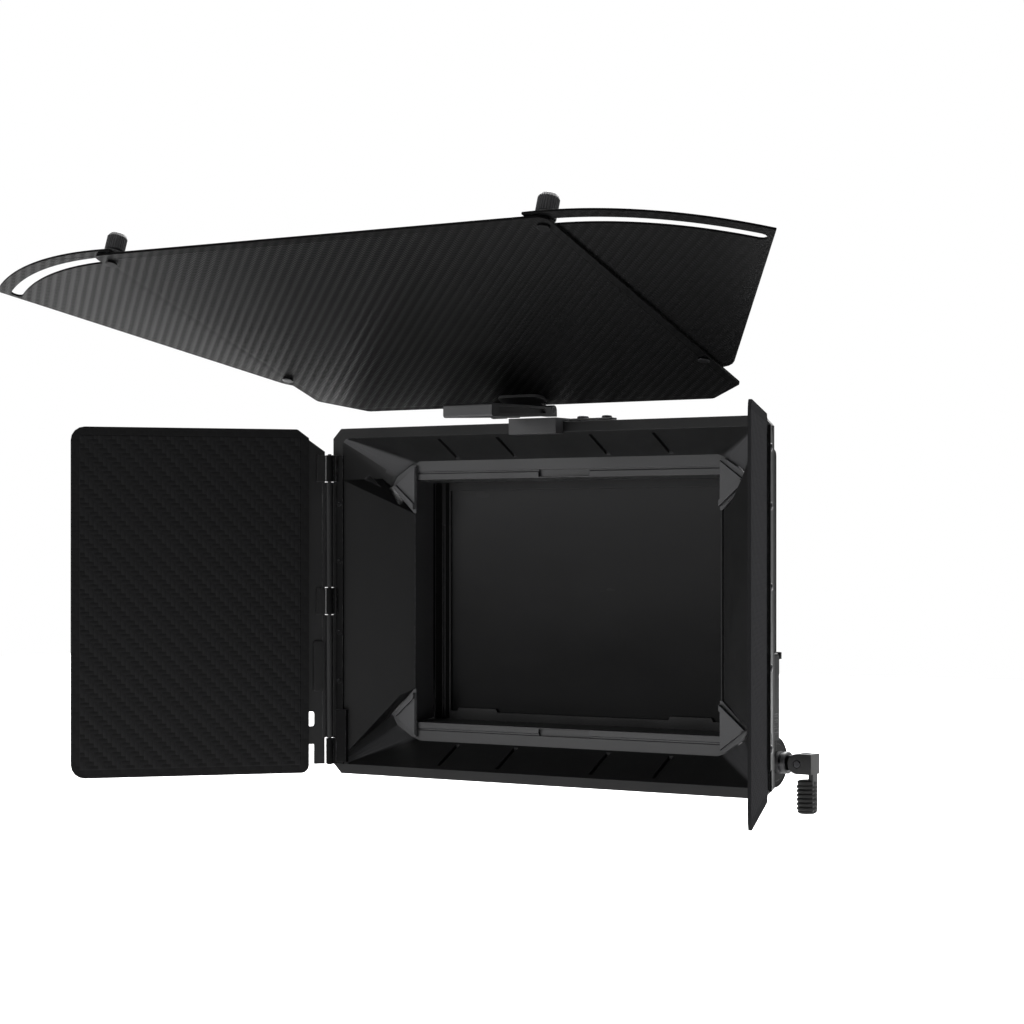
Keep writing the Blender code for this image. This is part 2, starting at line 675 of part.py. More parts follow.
def make_clamp_lever(pivot):
    """Forked lever round the cross pin; its outer plate hangs down and carries a round grip."""
    hinge = add_empty("clamp_lever_axis", (LEVER_X, 0.0, 0.0), parent=pivot)
    outer = LEVER_PLATE_X[1]
    eye = arc((0.0, 0.0), LEVER_EYE_R, 90.0, 270.0, 12) + [(outer, -LEVER_EYE_R), (outer, LEVER_EYE_R)]
    eye = prism(eye, -LEVER_HALF_W, LEVER_HALF_W, "Y", [circle((0.0, 0.0), LEVER_BORE_R, 16)])
    lever = add_node("clamp_lever", eye, "anodised", hinge)
    plate = box(LEVER_PLATE_X, (-LEVER_PLATE_HALF_W, LEVER_PLATE_HALF_W), (-LEVER_LENGTH, 0.0))
    combine(lever, add_node("lever_plate", plate, "anodised", hinge), "UNION")
    half_slit = TONGUE_HALF_T + GAP
    throat = box((-8.0, LEVER_PLATE_X[0]), (-half_slit, half_slit), (-8.0, 8.0))
    combine(lever, add_node("lever_throat", throat, "anodised", hinge), "DIFFERENCE")
    grip = add_node("lever_grip", rod((GRIP_AXIS_X, 0.0), GRIP_R, *GRIP_Z, "Z", 20), "rubber", hinge)
    half = LEVER_PLATE_HALF_W + GAP
    slot = box((LEVER_PLATE_X[0] - GAP, outer + 3.0), (-half, half), (GRIP_Z[0] - 1.0, GRIP_Z[1] + 1.0))
    combine(grip, add_node("grip_slot", slot, "rubber", hinge), "DIFFERENCE")


def make_tray_catch():
    """Sprung plate on the right side, hinged at its top, whose nose presses on the trays through a window."""
    z_axis = CATCH_Z[1]
    hinge = add_empty("tray_catch_axis", (CATCH_AXIS_X, 0.0, z_axis))
    low, high = span(*CATCH_DEPTHS)
    drop = CATCH_Z[0] - z_axis
    inner = STAGE_HALF_W + GAP - CATCH_AXIS_X
    plate = prism(rectangle(inner, inner + CATCH_T, drop, 0.0), low, high, "Y")
    catch = add_node("tray_catch", plate, "moulded", hinge)
    eye = prism(circle((0.0, 0.0), CATCH_EYE_R, 14), low, high, "Y")
    combine(catch, add_node("catch_eye", eye, "moulded", hinge), "UNION")
    reach = (TRAY_HALF_W + GAP - CATCH_AXIS_X, inner + 1.0)
    nose = prism(rectangle(*reach, drop + NOSE_RISE[0], drop + NOSE_RISE[1]), low + 1.0, high - 1.0, "Y")
    combine(catch, add_node("catch_nose", nose, "moulded", hinge), "UNION")
    bore = prism(circle((0.0, 0.0), CATCH_BORE_R, 14), low - 1.0, high + 1.0, "Y")
    combine(catch, add_node("catch_bore", bore, "moulded", hinge), "DIFFERENCE")
    pin = rod((CATCH_AXIS_X, z_axis), CATCH_PIN_R, low - LUG_T, high + LUG_T, "Y", 14)
    add_node("catch_pin", pin, "steel")


def make_stage_side(name, side):
    """Side plate; the right one carries the catch's lugs and window."""
    front = FRONT_FRAME_DEPTH + FRONT_FRAME_T + GAP
    x = both_ways(side, STAGE_HALF_W - STAGE_WALL, STAGE_HALF_W)
    outline = rounded(rectangle(*span(front, STAGE_REAR), -STAGE_HALF_H, STAGE_HALF_H), [0.0, 3.0, 3.0, 0.0])
    plate = add_node("stage_side_" + name, prism(outline, *x, "X"), "anodised")
    if side < 0.0:
        return
    low, high = span(*CATCH_DEPTHS)
    window_z = (CATCH_Z[0] + NOSE_RISE[0] - 1.5, CATCH_Z[0] + NOSE_RISE[1] + 2.0)
    window = box((x[0] - 1.0, x[1] + 1.0), (low + 0.4, high - 0.4), window_z)
    combine(plate, add_node("catch_window", window, "anodised"), "DIFFERENCE")
    outline = rectangle(x[1] - 0.6, CATCH_AXIS_X + LUG_HALF, CATCH_Z[1] - LUG_HALF, CATCH_Z[1] + LUG_HALF)
    for at, y in (("front", (low - GAP - LUG_T, low - GAP)), ("rear", (high + GAP, high + GAP + LUG_T))):
        lug = prism(outline, *y, "Y", [circle((CATCH_AXIS_X, CATCH_Z[1]), CATCH_BORE_R, 14)])
        combine(plate, add_node("catch_lug_" + at, lug, "anodised"), "UNION")


# ---------------------------------------------------------------- top flag


def turned(profile, sides=20):
    """Closed solid of revolution about Z through (radius, height) points that start and end on the axis."""
    bm = bmesh.new()
    rings = []
    for radius, height in profile:
        if radius == 0.0:
            rings.append([bm.verts.new((0.0, 0.0, height))])
        else:
            rings.append([bm.verts.new((x, y, height)) for x, y in circle((0.0, 0.0), radius, sides)])
    for lower, upper in zip(rings, rings[1:]):
        for i in range(sides):
            near = [lower[0]] if len(lower) == 1 else [lower[i - 1], lower[i]]
            far = [upper[0]] if len(upper) == 1 else [upper[i], upper[i - 1]]
            bm.faces.new(near + far)
    return bm


def make_flag_bracket():
    """Hook over the hood's rim, and the fixed arm with two knuckles that the flag tilts on and rests on."""
    half = BRACKET_HALF_W
    over = LIP_HALF_H + GAP
    hook_z = LIP_HALF_H - HOOK_DROP
    hook = (LIP_DEPTH + GAP, LIP_DEPTH + GAP + HOOK_T)
    outline = [
        (BLOCK_FRONT, BLOCK_BOTTOM), (-GAP, BLOCK_BOTTOM), (-GAP, over), (hook[0], over), (hook[0], hook_z),
        (hook[1], hook_z), (hook[1], BLOCK_TOP), (BLOCK_FRONT, BLOCK_TOP),
    ]
    outline = [(at_depth(depth), z) for depth, z in outline]
    add_node("flag_clamp_block", prism(outline, -half, half, "X"), "anodised")
    axis = (at_depth(TILT_DEPTH), TILT_Z)
    front, rear = span(ARM_FRONT, ARM_REAR)
    profile = [(front, ARM_FRONT_Z[0]), (rear, ARM_REAR_Z[0]), (rear, ARM_REAR_Z[1]), (front, ARM_FRONT_Z[1])]
    profile = rounded(profile, [1.2, 0.0, 0.0, 1.2], 3)
    arm = add_node("flag_bracket_arm", prism(profile, -half, half, "X"), "anodised")
    for side, name in ((-1.0, "left"), (1.0, "right")):
        x = both_ways(side, KNUCKLE_INNER, half - GAP)
        cheek = box(x, span(ARM_REAR - 1.0, TILT_DEPTH + BARREL_R), (BLOCK_TOP + GAP, TILT_Z - 0.6))
        combine(arm, add_node("arm_cheek_" + name, cheek, "anodised"), "UNION")
        knuckle = rod(axis, BARREL_R, *x, "X", 20)
        combine(arm, add_node("arm_knuckle_" + name, knuckle, "anodised"), "UNION")
    bore = rod(axis, TILT_PIN_R + 0.1, -half - 2.0, half + 2.0, "X", 20)
    combine(arm, add_node("arm_bore", bore, "anodised"), "DIFFERENCE")
    for side, name in ((-1.0, "left"), (1.0, "right")):
        x = both_ways(side, half - ARM_RECESS, half + 1.0)
        slot = [(front + 5.0, ARM_FRONT_Z[0] + 1.5), (rear - 4.0, ARM_REAR_Z[0] + 1.0),
                (rear - 4.0, ARM_REAR_Z[1] - 1.0), (front + 5.0, ARM_FRONT_Z[1] - 1.2)]
        slot = rounded(slot, [1.0, 0.8, 0.8, 1.0], 3)
        combine(arm, add_node("arm_slot_" + name, prism(slot, *x, "X"), "anodised"), "DIFFERENCE")
    pin = rod(axis, TILT_PIN_R, -half - TILT_PIN_REACH, half - GAP, "X", 20)
    add_node("flag_tilt_pin", pin, "steel")
    knob_axis = add_empty("flag_tilt_knob_axis", (0.0, *axis))
    knob = prism(toothed((0.0, 0.0), TILT_KNOB_R, 16, 0.35), -half - TILT_KNOB_REACH, -half - GAP, "X")
    knob = add_node("flag_tilt_knob", knob, "anodised", knob_axis)
    socket = rod((0.0, 0.0), TILT_PIN_R + 0.15, -half - TILT_PIN_REACH - 0.4, -half + 1.0, "X", 20)
    combine(knob, add_node("tilt_knob_socket", socket, "anodised", knob_axis), "DIFFERENCE")


def make_top_flag():
    """Centre panel, hinge leaf and wings, in a frame whose origin is the tilt pin: x across, -y forward, z up."""
    tilt = add_empty("top_flag_axis", (0.0, at_depth(TILT_DEPTH), TILT_Z), (-FLAG_TILT, 0.0, 0.0))
    low = FLAG_OFFSET
    high = low + FLAG_T
    corners = [
        (FLAG_REAR_HALF_W, -FLAG_REAR), (FLAG_HALF_W, -FLAG_REAR_CUT), (FLAG_HALF_W, -FLAG_FRONT),
        (-FLAG_HALF_W, -FLAG_FRONT), (-FLAG_HALF_W, -FLAG_REAR_CUT), (-FLAG_REAR_HALF_W, -FLAG_REAR),
    ]
    outline = rounded(corners, [4.0, 3.0, 3.5, 3.5, 3.0, 4.0])
    holes = []
    for side in (-1.0, 1.0):
        holes.append(circle((side * WING_PIVOT[0], -WING_PIVOT[1]), PIVOT_R + 0.2, 16))
        holes.append(circle((side * STUD_AT[0], -STUD_AT[1]), STUD_R + 0.2, 16))
    add_node("top_flag_panel", prism(outline, low, high, "Z", holes), "carbon", tilt)
    left = [(-x, y) for x, y in reversed(FLAG_LEAF_HALF)]
    plate = rounded(list(FLAG_LEAF_HALF) + left, [3.0, 1.0, 0.0, 0.0, 0.0, 0.0, 1.0, 3.0], 3)
    leaf = add_node("flag_hinge_leaf", prism(plate, FLAG_LEAF_LOW, low - GAP), "anodised", tilt)
    barrel = rod((0.0, 0.0), BARREL_R, -KNUCKLE_INNER + GAP, KNUCKLE_INNER - GAP, "X", 20)
    combine(leaf, add_node("leaf_barrel", barrel, "anodised", tilt), "UNION")
    bore = rod((0.0, 0.0), TILT_PIN_R + 0.1, -9.0, 9.0, "X", 20)
    combine(leaf, add_node("leaf_bore", bore, "anodised", tilt), "DIFFERENCE")
    for side, name in ((-1.0, "left"), (1.0, "right")):
        make_wing(tilt, name, side, high + GAP)


def wing_point(side, radius, angle):
    """Point at a radius from the wing's pivot; the angle is from straight ahead, outwards."""
    turn = math.radians(angle)
    return side * (WING_PIVOT[0] + radius * math.sin(turn)), -(WING_PIVOT[1] + radius * math.cos(turn))


def wing_arc(side, radius, start, end, steps):
    return [wing_point(side, radius, start + (end - start) * i / steps) for i in range(steps + 1)]


def wing_slot(side):
    """Curved slot with round ends for the clamping stud."""
    half = WING_SLOT_W / 2.0
    start, end = WING_SLOT_ANGLES
    points = wing_arc(side, WING_SLOT_R + half, start, end, 20)
    points += slot_end(side, end, 1.0)
    points += wing_arc(side, WING_SLOT_R - half, end, start, 20)
    points += slot_end(side, start, -1.0)
    return points


def slot_end(side, angle, way):
    """Half circle that closes the slot, from its outer edge at the end angle or its inner edge at the start."""
    middle = Vector(wing_point(side, WING_SLOT_R, angle))
    edge = Vector(wing_point(side, WING_SLOT_R + way * WING_SLOT_W / 2.0, angle)) - middle
    steps = 5
    return [tuple(middle + Matrix.Rotation(side * math.pi * i / steps, 2) @ edge) for i in range(1, steps)]


def make_wing(tilt, name, side, low):
    """Sector plate with its pivot screw, clamping stud and thumb knob."""
    lean = math.degrees(math.asin(WING_ROUND / WING_R))
    outline = wing_arc(side, WING_R, WING_INNER - lean, WING_SWEEP + lean, 20)
    outline += wing_arc(side, WING_ROUND, WING_SWEEP + 90.0, WING_INNER + 270.0, 10)
    hole = circle((side * WING_PIVOT[0], -WING_PIVOT[1]), PIVOT_R + 0.2, 16)
    pivot_at = (side * WING_PIVOT[0], -WING_PIVOT[1], low)
    plate = prism(outline, low, low + WING_T, "Z", [hole, wing_slot(side)])
    add_node("wing_" + name, plate, "carbon", tilt, pivot_at)
    top = low + WING_T + GAP
    under = FLAG_OFFSET - GAP
    rivet_r, rivet_h = RIVET
    head_r, head_h = PIVOT_HEAD
    screw = turned([(0.0, under - rivet_h), (rivet_r, under - rivet_h), (rivet_r, under), (PIVOT_R, under),
                    (PIVOT_R, top), (head_r, top), (head_r, top + head_h - 0.6), (head_r - 0.8, top + head_h),
                    (0.0, top + head_h)])
    screw.transform(Matrix.Translation((pivot_at[0], pivot_at[1], 0.0)))
    add_node("wing_pivot_screw_" + name, screw, "steel", tilt)
    stud_at = Matrix.Translation((side * STUD_AT[0], -STUD_AT[1], 0.0))
    stud = turned([(0.0, under - rivet_h), (rivet_r, under - rivet_h), (rivet_r, under), (STUD_R, under),
                   (STUD_R, top + STUD_H), (0.0, top + STUD_H)])
    stud.transform(stud_at)
    add_node("wing_stud_" + name, stud, "steel", tilt)
    socket = top + STUD_H + 0.4
    knob = turned([(0.0, socket), (STUD_R + 0.2, socket), (STUD_R + 0.2, top), (KNOB_R, top),
                   (KNOB_R, top + KNOB_H - 2.4), (KNOB_R - 0.7, top + KNOB_H - 0.8), (KNOB_R - 2.2, top + KNOB_H),
                   (0.0, top + KNOB_H)])
    knob.transform(stud_at)
    knob_at = (side * STUD_AT[0], -STUD_AT[1], top)
    knob = add_node("wing_knob_" + name, knob, "anodised", tilt, knob_at)
    tail = rectangle(KNOB_R - 1.2, KNOB_TAIL, -KNOB_TAIL_HALF_W, KNOB_TAIL_HALF_W)
    tail = rounded(tail, [0.0, KNOB_TAIL_HALF_W - 0.2, KNOB_TAIL_HALF_W - 0.2, 0.0])
    tail = prism(tail, 0.0, KNOB_TAIL_T)
    tail.transform(Matrix.Rotation(math.radians(180.0 if side > 0 else 90.0), 4, "Z"))
    tail.transform(Matrix.Translation(knob_at))
    combine(knob, add_node("knob_tail_" + name, tail, "anodised", tilt, knob_at), "UNION")


# ---------------------------------------------------------------- side flags


def make_hinge_strip(name, side):
    """Strip on the lip's front face with three knuckles, and the hinge pin."""
    x = both_ways(side, STRIP_INNER_X, STRIP_OUTER_X)
    strip = add_node("hinge_strip_" + name, box(x, span(-STRIP_T, -GAP), STRIP_Z), "anodised")
    x = both_ways(side, *STRIP_BLOCK_X)
    block = box(x, span(-STRIP_BLOCK_T, -GAP), STRIP_BLOCK_Z)
    combine(strip, add_node("strip_block_" + name, block, "anodised"), "UNION")
    centre = (side * HINGE_X, at_depth(HINGE_DEPTH))
    web = rectangle(*both_ways(side, STRIP_OUTER_X - 1.0, HINGE_X), *span(-STRIP_WEB_T, -GAP))
    for number, (low, high) in enumerate(FIXED_KNUCKLES, 1):
        tag = "{}_{}".format(name, number)
        combine(strip, add_node("knuckle_web_" + tag, prism(web, low, high), "anodised"), "UNION")
        barrel = rod(centre, KNUCKLE_R, low, high, "Z", 14)
        combine(strip, add_node("knuckle_" + tag, barrel, "anodised"), "UNION")
    bore = rod(centre, KNUCKLE_BORE_R, STRIP_Z[0] - 1.0, STRIP_Z[1] + 1.0, "Z", 14)
    combine(strip, add_node("knuckle_bore_" + name, bore, "anodised"), "DIFFERENCE")
    add_node("hinge_pin_" + name, rod(centre, PIN_R, STRIP_Z[0] - 0.3, STRIP_Z[1] + 0.5, "Z", 14), "steel")


def flat_panel(outline, side, low, high):
    """Extrudes a (reach, z) outline across the flag's thickness; low and high are towards the inside."""
    return prism([(-reach, z) for reach, z in outline], *both_ways(side, low, high), "X")


def make_side_flag(name, side):
    """Panel, hinge leaf and friction pad, in a frame on the hinge pin with the flag along -y."""
    hinge = add_empty("side_flag_axis_" + name, (side * HINGE_X, at_depth(HINGE_DEPTH), 0.0),
                      (0.0, 0.0, SWINGS[name]))
    half = SIDE_T / 2.0
    outline = rounded(
        [(SIDE_REACH[0], -SIDE_HALF_H), (SIDE_REACH[1], -SIDE_HALF_H), (SIDE_REACH[1], SIDE_HALF_H),
         (SIDE_CHAMFER[0], SIDE_HALF_H), (SIDE_REACH[0], SIDE_CHAMFER[1])],
        [3.5, 6.0, 6.0, 1.5, 0.5],
    )
    add_node("side_flag_" + name, flat_panel(outline, side, -half, half), "carbon", hinge)
    outer = half + GAP
    leaf_outline = [
        (LEAF_REACH[0], LEAF_BOTTOM), (LEAF_NARROW, LEAF_BOTTOM), (LEAF_NARROW, LEAF_SLIT_TOP),
        (LEAF_REACH[1], LEAF_SLIT_TOP), (LEAF_REACH[1], LEAF_TOP[1]), (SIDE_REACH[0], LEAF_TOP[1]),
        (LEAF_REACH[0], LEAF_TOP[0]),
    ]
    leaf = add_node("side_leaf_" + name, flat_panel(leaf_outline, side, outer, outer + LEAF_T), "anodised", hinge)
    for number, (low, high) in enumerate(MOVING_KNUCKLES, 1):
        tag = "{}_{}".format(name, number)
        web = rectangle(*both_ways(side, half, outer + LEAF_T), -LEAF_WEB, 0.0)
        combine(leaf, add_node("leaf_web_" + tag, prism(web, low, high), "anodised", hinge), "UNION")
        barrel = rod((0.0, 0.0), KNUCKLE_R, low, high, "Z", 14)
        combine(leaf, add_node("leaf_knuckle_" + tag, barrel, "anodised", hinge), "UNION")
    bore = rod((0.0, 0.0), KNUCKLE_BORE_R, STRIP_Z[0] - 1.0, STRIP_Z[1] + 1.0, "Z", 14)
    combine(leaf, add_node("leaf_bore_" + name, bore, "anodised", hinge), "DIFFERENCE")
    window = rounded(rectangle(*LEAF_HOLE), [1.0] * 4, 3)
    combine(leaf, add_node("leaf_window_" + name, flat_panel(window, side, 0.0, 4.0), "anodised", hinge), "DIFFERENCE")
    pad = rounded(rectangle(*PAD_REACH, *PAD_Z), [1.2] * 4, 3)
    add_node("side_pad_" + name, flat_panel(pad, side, -half, half), "moulded", hinge)


# ---------------------------------------------------------------- assembly


def main():
    clear_scene()
    make_hood()
    for side, across in ((-1.0, "left"), (1.0, "right")):
        make_gusset("hood_gusset_lower_" + across, side, -1.0)
        make_gusset("hood_gusset_upper_" + across, side, 1.0)
    make_hood_pad()
    make_front_frame()
    make_stage_walls()
    make_back_plate()
    make_clamp_ring()
    make_back_screws()
    for number, depth in enumerate(TRAY_DEPTHS, 1):
        make_tray(number, depth)
    make_tray_catch()
    make_clamp_drive()
    make_flag_bracket()
    make_top_flag()
    for side, name in ((-1.0, "left"), (1.0, "right")):
        make_hinge_strip(name, side)
        make_side_flag(name, side)


main()
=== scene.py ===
"""Looks of the clamp-on matte box: camera, studio light, materials and fine detail round the CAD frame.

Everything is in metres in the frame's own axes. +Y runs back along the optical axis, +Z is up and the hood
faces -Y.
"""

import json
import math

import bmesh
import bpy
import numpy as np
from mathutils import Matrix, Vector


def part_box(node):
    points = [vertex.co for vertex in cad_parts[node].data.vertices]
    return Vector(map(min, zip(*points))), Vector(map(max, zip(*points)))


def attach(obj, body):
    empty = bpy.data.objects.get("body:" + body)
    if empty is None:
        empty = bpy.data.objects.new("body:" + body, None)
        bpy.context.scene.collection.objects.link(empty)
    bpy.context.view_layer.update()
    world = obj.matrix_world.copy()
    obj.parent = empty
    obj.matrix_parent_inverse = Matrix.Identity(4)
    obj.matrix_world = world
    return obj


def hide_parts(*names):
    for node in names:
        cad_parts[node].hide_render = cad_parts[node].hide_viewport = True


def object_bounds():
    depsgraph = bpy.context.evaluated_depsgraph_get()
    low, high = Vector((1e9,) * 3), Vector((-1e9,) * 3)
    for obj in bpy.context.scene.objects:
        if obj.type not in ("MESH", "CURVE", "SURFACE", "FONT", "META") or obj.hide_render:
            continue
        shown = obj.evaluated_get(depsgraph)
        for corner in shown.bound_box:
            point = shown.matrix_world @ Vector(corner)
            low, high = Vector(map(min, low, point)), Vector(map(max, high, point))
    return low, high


MM = 0.001

# Camera
CAMERA_AT = (0.5591, -0.9644, 0.0240)
CAMERA_TURN = 32.9
CAMERA_LENS = 85.82
CAMERA_SENSOR = 36.0
CAMERA_SHIFT = 36.0 / 1024.0

# Stage
FLOOR_DROP = 0.20
FLOOR_SIZE = 9.0
SURROUND_FRONT = 0.10
SURROUND_BACK = 0.40
BACKGROUND = 1.0

# Softboxes: place, aim, size and power in watts
SOFTBOXES = {
    "key_front_left": ((-1.25, -1.95, 0.66), (0.0, -0.08, 0.0), (1.5, 1.2), 15.0),
    "overhead": ((0.0, 0.6, 2.4), (0.0, 0.35, 0.0), (2.6, 2.2), 62.0),
    "side_right": ((2.2, 0.3, 0.7), (0.1, -0.05, 0.0), (0.8, 1.2), 0.5),
    "background_wash": ((-2.0, 3.4, 3.0), (-2.2, 2.6, -0.3), (6.0, 5.0), 700.0),
}
# A card low in front of the hood, which shows in glossy faces only
CARD_X, CARD_Y, CARD_RISE = -0.05, -0.46, 0.02
CARD_AIM, CARD_SIZE, CARD_POWER = (-0.05, -0.2, 0.05), (0.6, 0.36), 1.2

# Size of each part of the normal on the hood's sloping corner faces, and the tone of the painted highlight on them
CORNER_SLOPE = (0.35, 0.76, 0.55)
CORNER_HIGHLIGHT_TONE = 0.042
NYLON_EDGE_TONE = 0.034

# Base tone and specular level of the finishes that share a material. The paler nylon copy and the paler aluminium
# copy are painted light, and the darker aluminium copy is painted shade
NYLON = {"moulded_nylon": (0.0065, 0.22), "nylon_painted_light": (0.058, 0.35)}
ALUMINIUM = {
    "anodised_aluminium": (0.010, 0.26), "aluminium_painted_light": (0.030, 0.40), "aluminium_painted_shade": (0.0045, 0.05),
}

# Carbon sheets: base tone, specular level, way of the diagonals, width of one tow of the twill, and contrast. The
# base tone is painted light and shade: darker on the top flag and lighter on the right flag than the same carbon,
# and the contrast sets the painted lit and shaded tows
TOP_WEAVE = (0.0025, 0.05, 1.0, 1.3 * MM, 0.9)
SIDE_WEAVE = {"left": (0.0080, 0.10, 1.0, 2.0 * MM, 0.5), "right": (0.0250, 0.0, -1.0, 2.0 * MM, 0.5)}
BORDER = 4.0 * MM
BORDER_STEP = 0.3 * MM

# Filter glass: colour of its painted reflection at its foot and at its top
GLASS_REFLECTION_DARK, GLASS_REFLECTION_BRIGHT = (0.0030, 0.0031, 0.0033), (0.0245, 0.0245, 0.0250)

# Light seals beside hinge knuckles: heights in mm, reach from the hinge, and depth from the flag's mid plane
SEALED_KNUCKLES = ((-5.9, 5.9), (54.1, 65.9))
SEAL_NEAR, SEAL_FAR = 1.8 * MM, 6.0 * MM
SEAL_BACK, SEAL_FRONT = -0.3 * MM, 0.86 * MM

# Screw, rivet and rib places; heights and rises are in mm, shares are of the part's length
STRIP_SCREW_HEIGHTS = (-36.0, -14.0, 18.0, 44.0)
STRIP_SCREW_INSET = 4.5 * MM
STRIP_FACE = 1.5 * MM
RIVET_SHARES = (0.12, 0.34, 0.56, 0.78, 0.94)
RIVET_INSET = 2.8 * MM
TAB_RIB_RISES = (2.2, 4.8, 7.4, 10.0)
CATCH_RIB_RISES = (3.0, 5.6, 8.2, 10.8)
PAD_SCREWS = ((0.27, 2.5), (0.82, 2.2))
PANEL_SCREW_X, PANEL_SCREW_Y = (-8.0, 8.0), 8.4 * MM

# Tray seals: inner and outer edges in mm, length and centre height
TRAY_SEAL_EDGES = ((70.3, 72.2), (74.2, 77.6))
TRAY_SEAL_LENGTH, TRAY_SEAL_Z = 112.0 * MM, -2.0 * MM

SPRING_STEPS = 32
SPRING_T = 0.3 * MM

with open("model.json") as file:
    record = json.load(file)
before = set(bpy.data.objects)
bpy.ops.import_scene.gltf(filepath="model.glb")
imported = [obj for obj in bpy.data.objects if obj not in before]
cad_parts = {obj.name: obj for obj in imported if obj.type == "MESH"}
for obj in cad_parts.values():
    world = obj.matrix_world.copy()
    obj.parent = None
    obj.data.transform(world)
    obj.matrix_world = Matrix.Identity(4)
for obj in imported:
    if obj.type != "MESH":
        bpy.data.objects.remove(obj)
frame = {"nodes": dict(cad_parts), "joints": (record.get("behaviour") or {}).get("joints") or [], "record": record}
cad_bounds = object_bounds()
nodes = frame["nodes"]
joints = {joint["name"]: joint for joint in frame["joints"]}


# ---------------------------------------------------------------- geometry read from the frame


def points_of(node):
    return np.array([vertex.co for vertex in nodes[node].data.vertices], float).reshape(-1, 3)


def hinge_at(joint):
    return Vector(joints[joint]["pos_m"])


def side_flag_frame(side):
    """Frame of a side flag at rest: origin on its hinge, x along the panel, y up, z across the panel."""
    hinge = hinge_at("side_flag_{}_swing".format(side))
    centre = Vector(points_of("side_flag_" + side).mean(0))
    along = centre - hinge
    along.z = 0.0
    along.normalize()
    up = Vector((0.0, 0.0, 1.0))
    return frame_matrix(hinge, along, up)


def top_flag_frame():
    """Frame of the top flag at rest: origin on its tilt pin, x across, y to its front edge, z downwards."""
    normal = Vector(joints["wing_left_fold"]["axis"]).normalized()
    across = Vector((1.0, 0.0, 0.0))
    return frame_matrix(hinge_at("top_flag_tilt"), across, across.cross(normal))


def frame_matrix(origin, x_axis, y_axis):
    z_axis = x_axis.cross(y_axis)
    turn = Matrix((x_axis, y_axis, z_axis)).transposed().to_4x4()
    return Matrix.Translation(origin) @ turn


# ---------------------------------------------------------------- camera, light and floor


def make_camera():
    camera = bpy.data.objects.new("camera", bpy.data.cameras.new("camera"))
    bpy.context.scene.collection.objects.link(camera)
    camera.location = CAMERA_AT
    camera.rotation_euler = (math.radians(90.0), 0.0, math.radians(CAMERA_TURN))
    camera.data.sensor_width = CAMERA_SENSOR
    camera.data.lens = CAMERA_LENS
    camera.data.shift_y = CAMERA_SHIFT
    camera.data.clip_start = 0.01
    camera.data.clip_end = 60.0
    bpy.context.scene.camera = camera


def make_world():
    """White to the camera; for light and reflections, a surround that is dim in front and bright behind."""
    world = bpy.data.worlds.new("studio")
    bpy.context.scene.world = world
    world.use_nodes = True
    tree = world.node_tree
    tree.nodes.clear()
    direction = tree.nodes.new("ShaderNodeTexCoord").outputs["Generated"]
    split = tree.nodes.new("ShaderNodeSeparateXYZ")
    tree.links.new(direction, split.inputs[0])
    strength = tree.nodes.new("ShaderNodeMapRange")
    strength.interpolation_type = "SMOOTHSTEP"
    limits = (("From Min", -0.5), ("From Max", 0.6), ("To Min", SURROUND_FRONT), ("To Max", SURROUND_BACK))
    for name, number in limits:
        strength.inputs[name].default_value = number
    tree.links.new(split.outputs["Y"], strength.inputs["Value"])
    surround = tree.nodes.new("ShaderNodeBackground")
    tree.links.new(strength.outputs[0], surround.inputs["Strength"])
    backdrop = tree.nodes.new("ShaderNodeBackground")
    backdrop.inputs["Strength"].default_value = BACKGROUND
    for background in (surround, backdrop):
        background.inputs["Color"].default_value = (1.0, 1.0, 1.0, 1.0)
    path = tree.nodes.new("ShaderNodeLightPath")
    mix = tree.nodes.new("ShaderNodeMixShader")
    output = tree.nodes.new("ShaderNodeOutputWorld")
    tree.links.new(path.outputs["Is Camera Ray"], mix.inputs[0])
    tree.links.new(surround.outputs[0], mix.inputs[1])
    tree.links.new(backdrop.outputs[0], mix.inputs[2])
    tree.links.new(mix.outputs[0], output.inputs["Surface"])


def add_softbox(name, at, aim, size, power):
    light = bpy.data.lights.new(name, "AREA")
    light.shape = "RECTANGLE"
    light.size, light.size_y = size
    light.energy = power
    lamp = bpy.data.objects.new(name, light)
    bpy.context.scene.collection.objects.link(lamp)
    lamp.location = at
    lamp.rotation_mode = "QUATERNION"
    lamp.rotation_quaternion = (Vector(aim) - Vector(at)).to_track_quat("-Z", "Y")
    return lamp


def make_lights():
    for name, (at, aim, size, power) in SOFTBOXES.items():
        add_softbox(name, at, aim, size, power)
    card_at = (CARD_X, CARD_Y, cad_bounds[0].z - FLOOR_DROP + CARD_RISE)
    card = add_softbox("front_card", card_at, CARD_AIM, CARD_SIZE, CARD_POWER)
    card.visible_diffuse = False


def make_floor():
    low = cad_bounds[0].z - FLOOR_DROP
    mesh = bpy.data.meshes.new("floor")
    half = FLOOR_SIZE / 2.0
    corners = [(-half, -half, low), (half, -half, low), (half, half, low), (-half, half, low)]
    mesh.from_pydata(corners, [], [(0, 1, 2, 3)])
    floor = bpy.data.objects.new("floor", mesh)
    bpy.context.scene.collection.objects.link(floor)
    paint = Paint("floor_paper")
    paint.shader.inputs["Roughness"].default_value = 0.9
    paint.shader.inputs["Specular IOR Level"].default_value = 0.2
    grain = paint.noise(paint.position(), 30.0, detail=2.0)
    paint.link(paint.ramp(grain, (0.86, 0.86, 0.86), (0.90, 0.90, 0.90)), "Base Color")
    mesh.materials.append(paint.material)


# ---------------------------------------------------------------- materials


